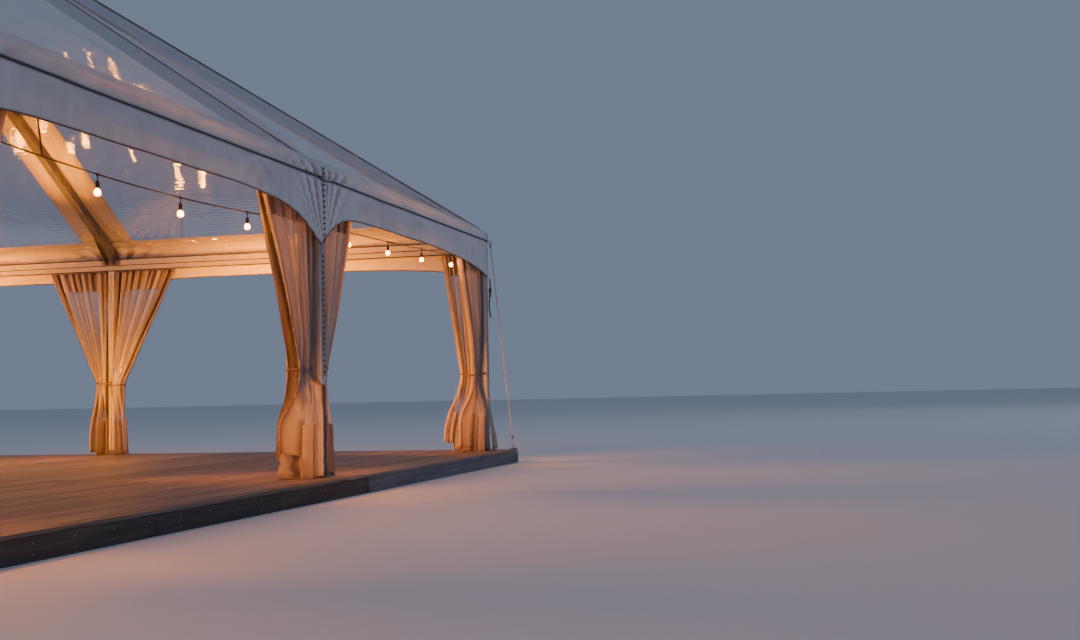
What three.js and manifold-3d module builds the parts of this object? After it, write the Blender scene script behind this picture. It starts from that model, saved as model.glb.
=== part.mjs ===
// A clear-top frame marquee on a raised timber deck: three bays long and two bays wide, with a hipped roof.
// Millimetres, +Z up. The origin is on the ground under the middle of the plan, and +X runs along the ridge.
import * as THREE from "three";
import { mergeVertices } from "three/addons/utils/BufferGeometryUtils.js";
import Module from "manifold-3d";

// Plan and heights
const BAY = 5500; // post centre to post centre, on the long sides and on the ends
const HALF_LENGTH = 1.5 * BAY;
const HALF_WIDTH = BAY;
const HALF_RIDGE = 0.5 * BAY;
const DECK_TOP = 175;
const DECK_MARGIN = 350; // deck beyond the post centres
const CORD_Z = DECK_TOP + 2780; // the seam cord between the roof cover and the valance
const EAVE_Z = DECK_TOP + 2930; // the roof plane over the post centres
const RIDGE_RISE = 3780; // ridge above EAVE_Z

// Deck
const BOARD = 28;
const JOIST = 45;
const JOIST_BAYS = 12;

// Frame
const POST = 100;
const PLATE = 220;
const PLATE_T = 12;
const BEAM_H = 90;
const RAIL_H = 80;
const RAIL_W = 80;
const RAFTER_W = 100;
const RAFTER_D = 120;
const RAFTER_FOOT = 40; // rafter beyond the post centre
const HIP_FOOT = 5;
const HUB_APOTHEM = 130;
const HUB_H = 180;

// Cover
const COVER_T = 4;
const CLEAR_T = 8;
const SKIRT_OUT = 66; // outer face of the hanging cover beyond the post centre
const SHOULDER_R = 60;
const EAVE_STRIP = 130;
const HIP_STRIP = 60;
const RAFTER_STRIP = 70;
const END_RAFTER_STRIP = 400;
const RIDGE_STRIP = 200;

// Valance
const VALANCE_T = 5;
const VALANCE_SHALLOW = 295;
// Depth of the hem at a kind of post, and on each hand of it, seen from outside, where its rise starts and how long it is
const HEM_MIDDLE = { deep: 600, left: [130, 450], right: [20, 290] };
const HEM_END = { deep: 600, left: [50, 350], right: [50, 350] };
const HEM_CORNER = { deep: 476, left: [0, 800], right: [0, 800] };
const HEM_STEPS = [0, 70, 160, 280, 450, 700, 1100, 1800];
const CORD_R = 10;

// Curtains: how far the leading edge stands from the post at the rail, the tie and the deck, and how far the foot
// lies inside the post line
const TIE_Z = 1000;
const TIE_H = 60;
const TIE_T = 12;
const LONG_ARM = { top: 1200, tie: 330, foot: 430, inside: 300 };
const SHORT_ARM = { top: 880, tie: 200, foot: 230, inside: 170 };
const CORNER_LONG_ARM = { top: 980, tie: 230, foot: 420, inside: 260 };
const CORNER_SHORT_ARM = { top: 560, tie: 300, foot: 520, inside: 200 };
const END_ARM = { top: 980, tie: 180, foot: 260, inside: 200 };

// Stays and lights
const STAY_R = 8;
const STAY_FOOT = 300; // stay foot beyond the corner post's centre, each way
const LIGHT_LINE_IN = 160; // light cable inside the post centres
const CABLE_R = 6;
const LAMP_DROP = 110;
const LAMP_R = 32;
const LAMP_PITCH = 1150;
const LAMP_START = 480; // a lamp's place along the side, from the middle
const CLIP_CORNER_Z = DECK_TOP + 2560;
const CLIP_MIDDLE_Z = DECK_TOP + 2400;
const END_SAG = 25;
const MIDDLE_SAG = 105;

const GAP = 0.3;
const SLOPE = RIDGE_RISE / BAY;
const COVER_DROP = COVER_T * Math.hypot(1, SLOPE); // the cover's thickness, measured upright
const RAIL_Z = CORD_Z - BEAM_H - RAIL_H;

const wasm = await Module();
wasm.setup();

// Colours and finishes
const finish = (color, roughness, metalness = 0, opacity = 1) =>
  new THREE.MeshStandardMaterial({ color, roughness, metalness, opacity, transparent: opacity < 1 });
const ALUMINIUM = finish(0x9a9da1, 0.45, 0.9);
const WHITE_PVC = finish(0xe6e5e0, 0.5);
const CLEAR_PVC = finish(0xcfd8df, 0.08, 0, 0.3);
const CURTAIN_PVC = finish(0xe4dccd, 0.35);
const TIMBER = finish(0x8d7257, 0.75);
const FASCIA = finish(0x4c4640, 0.8);
const ROPE = finish(0xd8d4c8, 0.8);
const LIGHTS = finish(0x17171a, 0.6);

// Turns a position-only geometry into a solid, whichever way its faces were wound.
function solid(geometry) {
  const bare = new THREE.BufferGeometry().setAttribute("position", geometry.getAttribute("position").clone());
  if (geometry.index) bare.setIndex(geometry.index);
  const merged = mergeVertices(bare, 1e-3);
  const at = merged.attributes.position;
  const triVerts = new Uint32Array(merged.index.array);
  const [a, b, c] = [new THREE.Vector3(), new THREE.Vector3(), new THREE.Vector3()];
  let volume = 0;
  for (let i = 0; i < triVerts.length; i += 3) {
    a.fromBufferAttribute(at, triVerts[i]);
    b.fromBufferAttribute(at, triVerts[i + 1]);
    c.fromBufferAttribute(at, triVerts[i + 2]);
    volume += a.dot(b.cross(c));
  }
  if (volume < 0)
    for (let i = 0; i < triVerts.length; i += 3)
      [triVerts[i + 1], triVerts[i + 2]] = [triVerts[i + 2], triVerts[i + 1]];
  return new wasm.Manifold(new wasm.Mesh({ numProp: 3, vertProperties: at.array, triVerts }));
}

const union = (geometries) => geometries.map(solid).reduce((all, one) => all.add(one));

function geometryOf(made) {
  const mesh = made.getMesh();
  const geometry = new THREE.BufferGeometry();
  geometry.setAttribute("position", new THREE.BufferAttribute(new Float32Array(mesh.vertProperties), 3));
  geometry.setIndex(new THREE.BufferAttribute(new Uint32Array(mesh.triVerts), 1));
  geometry.computeVertexNormals();
  return geometry;
}

const tent = new THREE.Group();

function addMesh(name, made, material, turn = 0) {
  const mesh = new THREE.Mesh(geometryOf(made), material);
  mesh.name = name;
  mesh.rotation.z = turn;
  tent.add(mesh);
  return mesh;
}

const box = (sx, sy, sz, x, y, z) => new THREE.BoxGeometry(sx, sy, sz).translate(x, y, z);
const polygon = (points) => new THREE.Shape(points.map(([x, y]) => new THREE.Vector2(x, y)));
const extrude = (shape, depth) => new THREE.ExtrudeGeometry(shape, { depth, bevelEnabled: false, steps: 1 });

// A side is modelled as the front one, with its length along X and its outside towards -Y, then turned.
const SIDES = [
  { name: "front", halfRun: HALF_LENGTH, offset: HALF_WIDTH, turn: 0, posts: [-1.5, -0.5, 0.5, 1.5] },
  { name: "right", halfRun: HALF_WIDTH, offset: HALF_LENGTH, turn: Math.PI / 2, posts: [-1, 0, 1] },
  { name: "back", halfRun: HALF_LENGTH, offset: HALF_WIDTH, turn: Math.PI, posts: [-1.5, -0.5, 0.5, 1.5] },
  { name: "left", halfRun: HALF_WIDTH, offset: HALF_LENGTH, turn: -Math.PI / 2, posts: [-1, 0, 1] },
];

// A section of [distance beyond the post centres, height], run along a side and mitred at both corners.
function mitredRun(side, section) {
  const contour = section.map(([out, z]) => new THREE.Vector2(out, z));
  const caps = THREE.ShapeUtils.triangulateShape(contour, []);
  const n = section.length;
  const positions = [];
  for (const end of [-1, 1])
    for (const [out, z] of section) positions.push(end * (side.halfRun + out - GAP), -(side.offset + out), z);
  const index = [];
  for (let i = 0; i < n; i++) {
    const j = (i + 1) % n;
    index.push(i, j, n + i, j, n + j, n + i);
  }
  const wound = THREE.ShapeUtils.isClockWise(contour) ? -1 : 1;
  for (const [a, b, c] of caps) {
    const [p, q] = wound > 0 ? [b, c] : [c, b];
    index.push(a, q, p, n + a, n + p, n + q);
  }
  const geometry = new THREE.BufferGeometry();
  geometry.setAttribute("position", new THREE.BufferAttribute(new Float32Array(positions), 3));
  geometry.setIndex(index);
  return geometry;
}

const roofZ = (out) => EAVE_Z - SLOPE * out;

// Deck: the boards as one floor, over a ring of fascias with joists across
function addDeck() {
  const length = 2 * (HALF_LENGTH + DECK_MARGIN);
  const width = 2 * (HALF_WIDTH + DECK_MARGIN);
  const under = DECK_TOP - BOARD - GAP;
  addMesh("deck_floor", solid(box(length, width, BOARD, 0, 0, DECK_TOP - BOARD / 2)), TIMBER);
  const pitch = (length - JOIST) / JOIST_BAYS;
  let frame = solid(box(length, width, under, 0, 0, under / 2));
  for (let i = 0; i < JOIST_BAYS; i++) {
    const x = -length / 2 + JOIST / 2 + (i + 0.5) * pitch;
    frame = frame.subtract(solid(box(pitch - JOIST, width - 2 * JOIST, 2 * under, x, 0, under / 2)));
  }
  addMesh("deck_frame", frame, FASCIA);
}

// Posts stand on base plates and reach the underside of the curtain rail
const POSTS = [];
for (const [x, tag] of [[-1.5, "left"], [-0.5, "mid_left"], [0.5, "mid_right"], [1.5, "right"]])
  for (const [y, row] of [[-1, "front"], [1, "back"]])
    POSTS.push({ name: `${row}_${tag}`, x: x * BAY, y: y * BAY, inX: -Math.sign(x), inY: -y, corner: Math.abs(x) > 1 });
for (const [x, tag] of [[-1, "left"], [1, "right"]])
  POSTS.push({ name: `end_${tag}`, x: x * HALF_LENGTH, y: 0, inX: -x, inY: 0, corner: false });

function addPosts() {
  const foot = DECK_TOP + GAP;
  const top = RAIL_Z - GAP;
  for (const post of POSTS) {
    const plate = box(PLATE, PLATE, PLATE_T, 0, 0, foot + PLATE_T / 2);
    const shaft = box(POST, POST, top - foot, 0, 0, (foot + top) / 2);
    const mesh = addMesh(`post_${post.name}`, union([plate, shaft]), ALUMINIUM);
    mesh.position.set(post.x, post.y, 0);
  }
}

// Eave beam with the narrower curtain rail under it, on all four sides
function addEaveBeams() {
  const wide = POST / 2;
  const narrow = RAIL_W / 2;
  const step = CORD_Z - BEAM_H;
  const section = [
    [-narrow, RAIL_Z], [narrow, RAIL_Z], [narrow, step], [wide, step],
    [wide, CORD_Z], [-wide, CORD_Z], [-wide, step], [-narrow, step],
  ];
  for (const side of SIDES)
    addMesh(`eave_beam_${side.name}`, solid(mitredRun(side, section)), ALUMINIUM, side.turn);
}

// Rafters sit on the eave beams and butt against the hubs. A hip rafter hangs lower, so its corners clear the cover.
function rafterShape(run, lower, foot) {
  const slope = RIDGE_RISE / run;
  const deep = RAFTER_D / Math.cos(Math.atan(slope));
  const top = (s) => EAVE_Z + slope * s - COVER_DROP - CLEAR_T - 2 * GAP - lower;
  const seat = CORD_Z + GAP;
  const seatEnd = (seat - top(0) + deep) / slope;
  const end = run - HUB_APOTHEM - GAP;
  const outline = [
    [-foot, seat], [seatEnd, seat], [end, top(end) - deep],
    [end, top(end)], [-foot, top(-foot)],
  ];
  return extrude(polygon(outline), RAFTER_W).rotateX(Math.PI / 2).translate(0, RAFTER_W / 2, 0);
}

function addRafters() {
  for (const post of POSTS) {
    const apexX = Math.sign(post.x) * HALF_RIDGE;
    const run = Math.hypot(apexX - post.x, post.y);
    const lower = post.corner ? (SLOPE * RAFTER_W) / 2 / Math.SQRT2 + GAP : 0;
    const kind = post.corner ? "hip_rafter" : "rafter";
    const mesh = addMesh(`${kind}_${post.name}`, solid(rafterShape(run, lower, post.corner ? HIP_FOOT : RAFTER_FOOT)), ALUMINIUM);
    mesh.position.set(post.x, post.y, 0);
    mesh.rotation.z = Math.atan2(-post.y, apexX - post.x);
  }
}

// Ridge beam with an eight-sided hub at each end
function addRidge() {
  const peak = EAVE_Z + RIDGE_RISE - COVER_DROP - CLEAR_T - 3 * GAP;
  const half = RAFTER_W / 2;
  const side = peak - SLOPE * half;
  const section = [[-half, side - RAFTER_D], [half, side - RAFTER_D], [half, side], [0, peak], [-half, side]];
  const beam = extrude(polygon(section), 2 * HALF_RIDGE)
    .rotateX(Math.PI / 2).rotateZ(Math.PI / 2).translate(-HALF_RIDGE, 0, 0);
  const hubTop = peak - SLOPE * HUB_APOTHEM;
  const radius = HUB_APOTHEM / Math.cos(Math.PI / 8);
  const hubs = [-1, 1].map((end) =>
    new THREE.CylinderGeometry(radius, radius, HUB_H, 8)
      .rotateX(Math.PI / 2).rotateZ(Math.PI / 8).translate(end * HALF_RIDGE, 0, hubTop - HUB_H / 2));
  const keep = box(2 * HALF_RIDGE, POST, RAFTER_D * 3, 0, 0, peak - RAFTER_D);
  addMesh("ridge_beam", solid(beam).intersect(solid(keep)).add(union(hubs)), ALUMINIUM);
}

// Clear roof sheets, one to a slope
function addClearRoof() {
  for (const side of SIDES) {
    const high = -HALF_WIDTH + (side.offset === HALF_WIDTH ? 1 : 20);
    const low = SHOULDER_R / 2;
    const top = (out) => roofZ(out) - COVER_DROP - GAP;
    const section = [[high, top(high)], [low, top(low)], [low, top(low) - CLEAR_T], [high, top(high) - CLEAR_T]];
    addMesh(`clear_roof_${side.name}`, solid(mitredRun(side, section)), CLEAR_PVC, side.turn);
  }
}

// The white borders lie on the clear sheet along the eave, hips, rafters and ridge, then roll over the shoulder
function coverSection(high) {
  const fall = Math.atan(SLOPE);
  const centre = SKIRT_OUT - SHOULDER_R;
  const corner = roofZ(SKIRT_OUT);
  const tangent = SHOULDER_R * Math.tan((Math.PI / 2 - fall) / 2);
  const centreZ = corner - tangent;
  const arc = (r) => {
    const points = [];
    for (let i = 0; i <= 5; i++) {
      const angle = Math.PI / 2 - fall - ((Math.PI / 2 - fall) * i) / 5;
      points.push([centre + r * Math.cos(angle), centreZ + r * Math.sin(angle)]);
    }
    return points;
  };
  const hem = CORD_Z + CORD_R + GAP;
  return [
    [high, roofZ(high)], ...arc(SHOULDER_R), [SKIRT_OUT, hem],
    [SKIRT_OUT - COVER_T, hem], ...arc(SHOULDER_R - COVER_T).reverse(), [high, roofZ(high) - COVER_DROP],
  ];
}

// Openings in a side's cover, as [along, out] outlines
function coverWindows(side) {
  const hip = HIP_STRIP * Math.SQRT2;
  const flank = (from) => [
    [from, -EAVE_STRIP], [side.halfRun - EAVE_STRIP - hip, -EAVE_STRIP], [from, from + hip - side.halfRun],
  ];
  const mirrored = (outline) => outline.map(([along, out]) => [-along, out]);
  if (side.offset === HALF_LENGTH) return [flank(END_RAFTER_STRIP), mirrored(flank(END_RAFTER_STRIP))];
  const half = HALF_RIDGE - RAFTER_STRIP;
  const ridge = -HALF_WIDTH + RIDGE_STRIP;
  const middle = [[-half, -EAVE_STRIP], [half, -EAVE_STRIP], [half, ridge], [-half, ridge]];
  const joint = HALF_RIDGE + RAFTER_STRIP;
  return [flank(joint), mirrored(flank(joint)), middle];
}

function addCovers() {
  const tall = EAVE_Z + RIDGE_RISE;
  for (const side of SIDES) {
    const high = -HALF_WIDTH + (side.offset === HALF_WIDTH ? 1 : 20);
    let cover = solid(mitredRun(side, coverSection(high)));
    for (const outline of coverWindows(side)) {
      const plan = polygon(outline.map(([along, out]) => [along, -(side.offset + out)]));
      cover = cover.subtract(solid(extrude(plan, tall)));
    }
    addMesh(`roof_border_${side.name}`, cover, WHITE_PVC, side.turn);
  }
}

// Valance with its seam cord along the top. Its hem rises from each post, steeply at first, and is level in mid-bay.
function hemOutline(side) {
  const kinds = side.posts.map((post, i) => {
    if (i === 0 || i === side.posts.length - 1) return HEM_CORNER;
    return side.offset === HALF_WIDTH ? HEM_MIDDLE : HEM_END;
  });
  const hem = (along) => {
    const drops = side.posts.map((post, i) => {
      const away = along - post * BAY;
      const [start, length] = away < 0 ? kinds[i].left : kinds[i].right;
      return (kinds[i].deep - VALANCE_SHALLOW) * Math.exp(-Math.max(Math.abs(away) - start, 0) / length);
    });
    return CORD_Z - Math.min(VALANCE_SHALLOW + drops.reduce((sum, drop) => sum + drop), HEM_MIDDLE.deep);
  };
  const places = side.posts.flatMap((post) =>
    HEM_STEPS.flatMap((step) => (step ? [post * BAY - step, post * BAY + step] : [post * BAY])));
  const reach = side.halfRun + POST;
  const inside = places.filter((along) => Math.abs(along) < reach).sort((a, b) => a - b);
  const low = CORD_Z - 2 * HEM_MIDDLE.deep;
  return [[reach, low], [-reach, low], ...[-reach, ...inside, reach].map((along) => [along, hem(along)])];
}

function addValances() {
  const out = SKIRT_OUT;
  const bead = [];
  for (let i = 0; i <= 5; i++) {
    const angle = (-0.35 + (1.7 * i) / 5) * Math.PI;
    bead.push([out + CORD_R * Math.cos(angle), CORD_Z + CORD_R * Math.sin(angle)]);
  }
  const low = CORD_Z - HEM_MIDDLE.deep;
  const inner = out - VALANCE_T;
  const section = [[inner, low], [out, low], ...bead.filter(([d]) => d >= inner), [inner, CORD_Z]];
  for (const side of SIDES) {
    const arches = extrude(polygon(hemOutline(side)), POST).rotateX(Math.PI / 2)
      .translate(0, -side.offset - POST / 2, 0);
    addMesh(`valance_${side.name}`, solid(mitredRun(side, section)).subtract(solid(arches)), WHITE_PVC, side.turn);
  }
}

// One curtain drawn back to its post and hanging inwards towards its foot. Each level is a height above the deck,
// the face outside the post line and the share of the arm's inside reach.
function curtainArm(arm, inwards) {
  const near = POST / 2 + 2 * GAP;
  const edge = (z) =>
    z >= TIE_Z
      ? arm.tie + (arm.top - arm.tie) * ((z - TIE_Z) / (RAIL_Z - DECK_TOP - TIE_Z)) ** 0.85
      : arm.foot + (arm.tie - arm.foot) * (z / TIE_Z) ** 1.6;
  const levels = [
    [GAP, 60, 1], [200, 58, 0.93], [500, 50, 0.73], [800, 45, 0.56], [TIE_Z, 42, 0.5],
    [1250, 40, 0.46], [1600, 38, 0.36], [2000, 36, 0.26], [2300, 35, 0.18], [RAIL_Z - DECK_TOP - GAP, 34, 0.12],
  ];
  const positions = [];
  for (const [z, outside, share] of levels) {
    const far = edge(z);
    const [low, high] = inwards > 0 ? [-outside, share * arm.inside] : [-share * arm.inside, outside];
    positions.push(near, low, z, far, low, z, far, high, z, near, high, z);
  }
  const index = [0, 1, 2, 0, 2, 3];
  const last = 4 * (levels.length - 1);
  index.push(last, last + 2, last + 1, last, last + 3, last + 2);
  for (let ring = 0; ring < last; ring += 4)
    for (let i = 0; i < 4; i++) {
      const j = (i + 1) % 4;
      index.push(ring + i, ring + 4 + j, ring + j, ring + i, ring + 4 + i, ring + 4 + j);
    }
  const geometry = new THREE.BufferGeometry();
  geometry.setAttribute("position", new THREE.BufferAttribute(new Float32Array(positions), 3));
  geometry.setIndex(index);
  return geometry.translate(0, 0, DECK_TOP);
}

// The curtains of one post and the band round it that ties them are one piece.
function addCurtains() {
  for (const post of POSTS) {
    const arms = [];
    const alongX = (size, to) => arms.push(curtainArm(size, to * post.inY).rotateZ(to > 0 ? 0 : Math.PI));
    const alongY = (size, to) => arms.push(curtainArm(size, -to * post.inX).rotateZ((to * Math.PI) / 2));
    if (post.corner) {
      alongX(CORNER_LONG_ARM, post.inX);
      alongY(CORNER_SHORT_ARM, post.inY);
    } else if (post.inY === 0) {
      alongY(END_ARM, 1);
      alongY(END_ARM, -1);
    } else {
      alongX(LONG_ARM, -post.inY);
      alongX(SHORT_ARM, post.inY);
    }
    const hole = POST + 3 * GAP;
    const band = solid(box(hole + 2 * TIE_T, hole + 2 * TIE_T, TIE_H, 0, 0, DECK_TOP + TIE_Z))
      .subtract(solid(box(hole, hole, 2 * TIE_H, 0, 0, DECK_TOP + TIE_Z)));
    const clearance = solid(box(PLATE + 4 * GAP, PLATE + 4 * GAP, PLATE_T + 2 * GAP, 0, 0,
      DECK_TOP + PLATE_T / 2 + GAP));
    const mesh = addMesh(`curtains_${post.name}`, union(arms).subtract(clearance).add(band), CURTAIN_PVC);
    mesh.position.set(post.x, post.y, 0);
  }
}

// Corner stays: a ring at the eave corner, a taut rope and an eye plate on the deck
function addStays() {
  const bead = SKIRT_OUT + CORD_R + GAP;
  const ring = 3 * STAY_R;
  const top = new THREE.Vector3(bead + ring / 2, 0, CORD_Z);
  const foot = new THREE.Vector3(STAY_FOOT, 0, DECK_TOP + PLATE_T);
  for (const post of POSTS.filter((each) => each.corner)) {
    const signX = Math.sign(post.x);
    const signY = Math.sign(post.y);
    const place = (v) => new THREE.Vector3(signX * v.x, signY * v.x, v.z);
    const [from, to] = [place(top), place(foot)];
    const rope = new THREE.CylinderGeometry(STAY_R, STAY_R, from.distanceTo(to), 8);
    const lie = new THREE.Quaternion().setFromUnitVectors(
      new THREE.Vector3(0, 1, 0), to.clone().sub(from).normalize());
    rope.applyQuaternion(lie);
    const middle = from.clone().add(to).multiplyScalar(0.5);
    rope.translate(middle.x, middle.y, middle.z);
    const plate = box(80, 80, PLATE_T, to.x, to.y, DECK_TOP + GAP + PLATE_T / 2);
    const eye = box(ring, ring, ring, from.x, from.y, from.z);
    const mesh = addMesh(`stay_${post.name}`, union([rope, plate, eye]), ROPE);
    mesh.position.set(post.x, post.y, 0);
  }
}

// Light cable along a long side, sagging between clips on the posts, with a lamp on a short drop at intervals
function cableZ(x) {
  const reach = Math.abs(x);
  if (reach <= HALF_RIDGE) return CLIP_MIDDLE_Z - MIDDLE_SAG * (1 - (reach / HALF_RIDGE) ** 2);
  const t = (reach - HALF_RIDGE) / BAY;
  return CLIP_MIDDLE_Z + (CLIP_CORNER_Z - CLIP_MIDDLE_Z) * t - 4 * END_SAG * t * (1 - t);
}

function addLights() {
  const end = HALF_LENGTH - POST;
  const steps = 48;
  const points = [];
  for (let i = 0; i <= steps; i++) {
    const x = end * ((2 * i) / steps - 1);
    points.push(new THREE.Vector3(x, 0, cableZ(x)));
  }
  const pieces = [tubeAlong(points)];
  const reach = LIGHT_LINE_IN - POST / 2 - GAP;
  const clips = [-end + CABLE_R, -HALF_RIDGE, HALF_RIDGE, end - CABLE_R];
  for (const x of clips)
    pieces.push(box(2 * CABLE_R, reach + CABLE_R, 4 * CABLE_R, x, (CABLE_R - reach) / 2, cableZ(x)));
  const first = LAMP_START - LAMP_PITCH * Math.floor((LAMP_START + end) / LAMP_PITCH);
  for (let x = first; x < end; x += LAMP_PITCH) {
    if (Math.abs(Math.abs(x) - HALF_RIDGE) < 2 * POST) continue;
    const z = cableZ(x) - LAMP_DROP;
    const drop = new THREE.CylinderGeometry(CABLE_R, CABLE_R, LAMP_DROP, 6)
      .rotateX(Math.PI / 2).translate(x, 0, z + LAMP_DROP / 2);
    pieces.push(drop, new THREE.IcosahedronGeometry(LAMP_R, 0).translate(x, 0, z - LAMP_R / 2));
  }
  for (const [name, sign] of [["front", -1], ["back", 1]]) {
    const mesh = addMesh(`lights_${name}`, union(pieces), LIGHTS, sign > 0 ? Math.PI : 0);
    mesh.position.y = sign * (HALF_WIDTH - LIGHT_LINE_IN);
  }
}

// A six-sided tube through points in the XZ plane
function tubeAlong(points) {
  const sides = 6;
  const positions = [];
  const index = [];
  points.forEach((p, i) => {
    const next = points[Math.min(i + 1, points.length - 1)];
    const last = points[Math.max(i - 1, 0)];
    const slope = Math.atan2(next.z - last.z, next.x - last.x);
    for (let k = 0; k < sides; k++) {
      const angle = (2 * Math.PI * k) / sides;
      const up = CABLE_R * Math.sin(angle);
      positions.push(p.x - up * Math.sin(slope), p.y + CABLE_R * Math.cos(angle), p.z + up * Math.cos(slope));
    }
  });
  for (let i = 0; i + 1 < points.length; i++)
    for (let k = 0; k < sides; k++) {
      const j = (k + 1) % sides;
      const [a, b] = [i * sides, (i + 1) * sides];
      index.push(a + k, a + j, b + k, a + j, b + j, b + k);
    }
  const end = (points.length - 1) * sides;
  for (let k = 1; k + 1 < sides; k++) index.push(0, k + 1, k, end, end + k, end + k + 1);
  const geometry = new THREE.BufferGeometry();
  geometry.setAttribute("position", new THREE.BufferAttribute(new Float32Array(positions), 3));
  geometry.setIndex(index);
  return geometry;
}

addDeck();
addPosts();
addEaveBeams();
addRafters();
addRidge();
addClearRoof();
addCovers();
addValances();
addCurtains();
addStays();
addLights();

export default tent;
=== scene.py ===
# %% [markdown]
# # A clear-top frame marquee on a timber deck
# A marquee of this kind is a kit: aluminium posts, eave beams and rafters carry a roof of clear vinyl, white
# coated fabric borders cover every joint, and side curtains are tied back to the posts.
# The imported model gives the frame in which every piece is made, so the first step is to load it.

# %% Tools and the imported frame
import math

import bmesh
import bpy
import numpy as np
from mathutils import Matrix, Vector


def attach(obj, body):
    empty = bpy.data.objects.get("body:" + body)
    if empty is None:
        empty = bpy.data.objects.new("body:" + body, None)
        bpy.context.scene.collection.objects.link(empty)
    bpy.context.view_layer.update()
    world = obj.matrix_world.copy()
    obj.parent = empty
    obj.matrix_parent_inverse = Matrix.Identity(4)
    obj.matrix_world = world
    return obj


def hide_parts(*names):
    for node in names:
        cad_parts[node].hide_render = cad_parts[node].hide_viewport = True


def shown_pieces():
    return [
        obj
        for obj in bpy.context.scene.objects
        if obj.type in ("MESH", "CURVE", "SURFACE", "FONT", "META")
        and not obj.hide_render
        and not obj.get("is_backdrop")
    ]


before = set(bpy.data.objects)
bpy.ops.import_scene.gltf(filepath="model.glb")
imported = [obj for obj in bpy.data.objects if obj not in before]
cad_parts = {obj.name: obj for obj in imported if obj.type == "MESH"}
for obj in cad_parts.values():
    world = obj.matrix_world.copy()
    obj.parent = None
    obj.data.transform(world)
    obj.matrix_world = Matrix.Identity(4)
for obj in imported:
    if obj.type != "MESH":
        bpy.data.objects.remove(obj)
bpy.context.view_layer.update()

# %% [markdown]
# ## Sizes
# The same driving dimensions as the solid model, in metres. Four sides carry nearly all the pieces, so a point
# is given as (along the side, out from its post line, height), and one function turns it into the frame.

# %% Driving dimensions
BAY = 5.5
HALF_LENGTH = 1.5 * BAY
HALF_WIDTH = BAY
HALF_RIDGE = 0.5 * BAY
DECK_TOP = 0.175
DECK_MARGIN = 0.35
CORD_Z = DECK_TOP + 2.78
EAVE_Z = DECK_TOP + 2.93
RIDGE_RISE = 3.78
SLOPE = RIDGE_RISE / BAY
BOARD = 0.028
JOIST = 0.045
POST = 0.1
PLATE = 0.22
PLATE_T = 0.012
BEAM_H = 0.09
RAIL_H = 0.08
RAIL_W = 0.08
RAIL_Z = CORD_Z - BEAM_H - RAIL_H
RAFTER_W = 0.1
RAFTER_D = 0.12
HUB_APOTHEM = 0.13
HUB_H = 0.18
CLEAR_T = 0.008
COVER_DROP = 0.004 * math.hypot(1, SLOPE)
SKIRT_OUT = 0.066
SHOULDER_R = 0.06
CORD_R = 0.01
GAP = 0.0003
VALANCE_SHALLOW = 0.295
VALANCE_DEEP = 0.6
TIE_Z = 1.0

SIDES = {
    "front": {"run": HALF_LENGTH, "offset": HALF_WIDTH, "turn": 0.0, "posts": (-1.5, -0.5, 0.5, 1.5)},
    "right": {"run": HALF_WIDTH, "offset": HALF_LENGTH, "turn": 0.5 * math.pi, "posts": (-1, 0, 1)},
    "back": {"run": HALF_LENGTH, "offset": HALF_WIDTH, "turn": math.pi, "posts": (-1.5, -0.5, 0.5, 1.5)},
    "left": {"run": HALF_WIDTH, "offset": HALF_LENGTH, "turn": -0.5 * math.pi, "posts": (-1, 0, 1)},
}


def is_long(side):
    return side["run"] > HALF_WIDTH


def on_side(side, along, out, z):
    """Points of the marquee's frame for places on a side."""
    along, out, z = np.broadcast_arrays(along, out, z)
    y = -(side["offset"] + out)
    cos, sin = math.cos(side["turn"]), math.sin(side["turn"])
    return np.stack([cos * along - sin * y, sin * along + cos * y, z], axis=-1)


def roof_z(out):
    """Top of the roof cover at a distance out from the post line."""
    return EAVE_Z - SLOPE * out


# %% [markdown]
# ## Camera, floor and light
# The camera stands low in front of the left bay, with a 45 mm lens and a roll of a little over a degree, which
# is what the lines of the photograph ask for.

# %% Camera
YAW, PITCH, ROLL = math.radians(13.84), math.radians(3.23), math.radians(-1.24)
CAMERA_AT = (-8.922, -10.506, 0.8775)
FOCAL_SHARE = 1346.5 / 1080
ahead = Vector((math.cos(YAW) * math.cos(PITCH), math.sin(YAW) * math.cos(PITCH), math.sin(PITCH)))
level = Vector((math.sin(YAW), -math.cos(YAW), 0))
upward = level.cross(ahead)
right = math.cos(ROLL) * level + math.sin(ROLL) * upward
above = -math.sin(ROLL) * level + math.cos(ROLL) * upward
camera = bpy.data.objects.new("photo_camera", bpy.data.cameras.new("photo_camera"))
turned = Matrix((right, above, -ahead)).transposed().to_4x4()
camera.matrix_world = Matrix.Translation(CAMERA_AT) @ turned
camera.data.sensor_width = 36
camera.data.lens = FOCAL_SHARE * 36
camera.data.clip_end = 900
bpy.context.scene.collection.objects.link(camera)
bpy.context.scene.camera = camera

# %% Making meshes, and objects from them


def add_object(name, data):
    thing = bpy.data.objects.new(name, data)
    bpy.context.scene.collection.objects.link(thing)
    return thing


def add_mesh(name, points, faces, materials, slots=0, uv=None, smooth=False):
    """A mesh object from points and faces; uv holds a pair for each point, slots and smooth a value a face."""
    mesh = bpy.data.meshes.new(name)
    mesh.from_pydata(np.asarray(points, float).tolist(), [], [list(map(int, face)) for face in faces])
    for material in materials:
        mesh.materials.append(material)
    count = len(mesh.polygons)
    mesh.polygons.foreach_set("material_index", np.full(count, slots, np.int32))
    mesh.polygons.foreach_set("use_smooth", np.full(count, smooth))
    if uv is not None:
        index = np.empty(len(mesh.loops), np.int32)
        mesh.loops.foreach_get("vertex_index", index)
        mesh.uv_layers.new(name="UVMap").data.foreach_set("uv", np.asarray(uv)[index].ravel())
    mesh.update()
    return add_object(name, mesh)


def declare(piece, slot, *nodes):
    """Every finished piece rides on the frame and hides the solids that it stands for; its slot is not used."""
    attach(piece, "root")
    if nodes:
        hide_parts(*nodes)
    return piece


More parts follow.
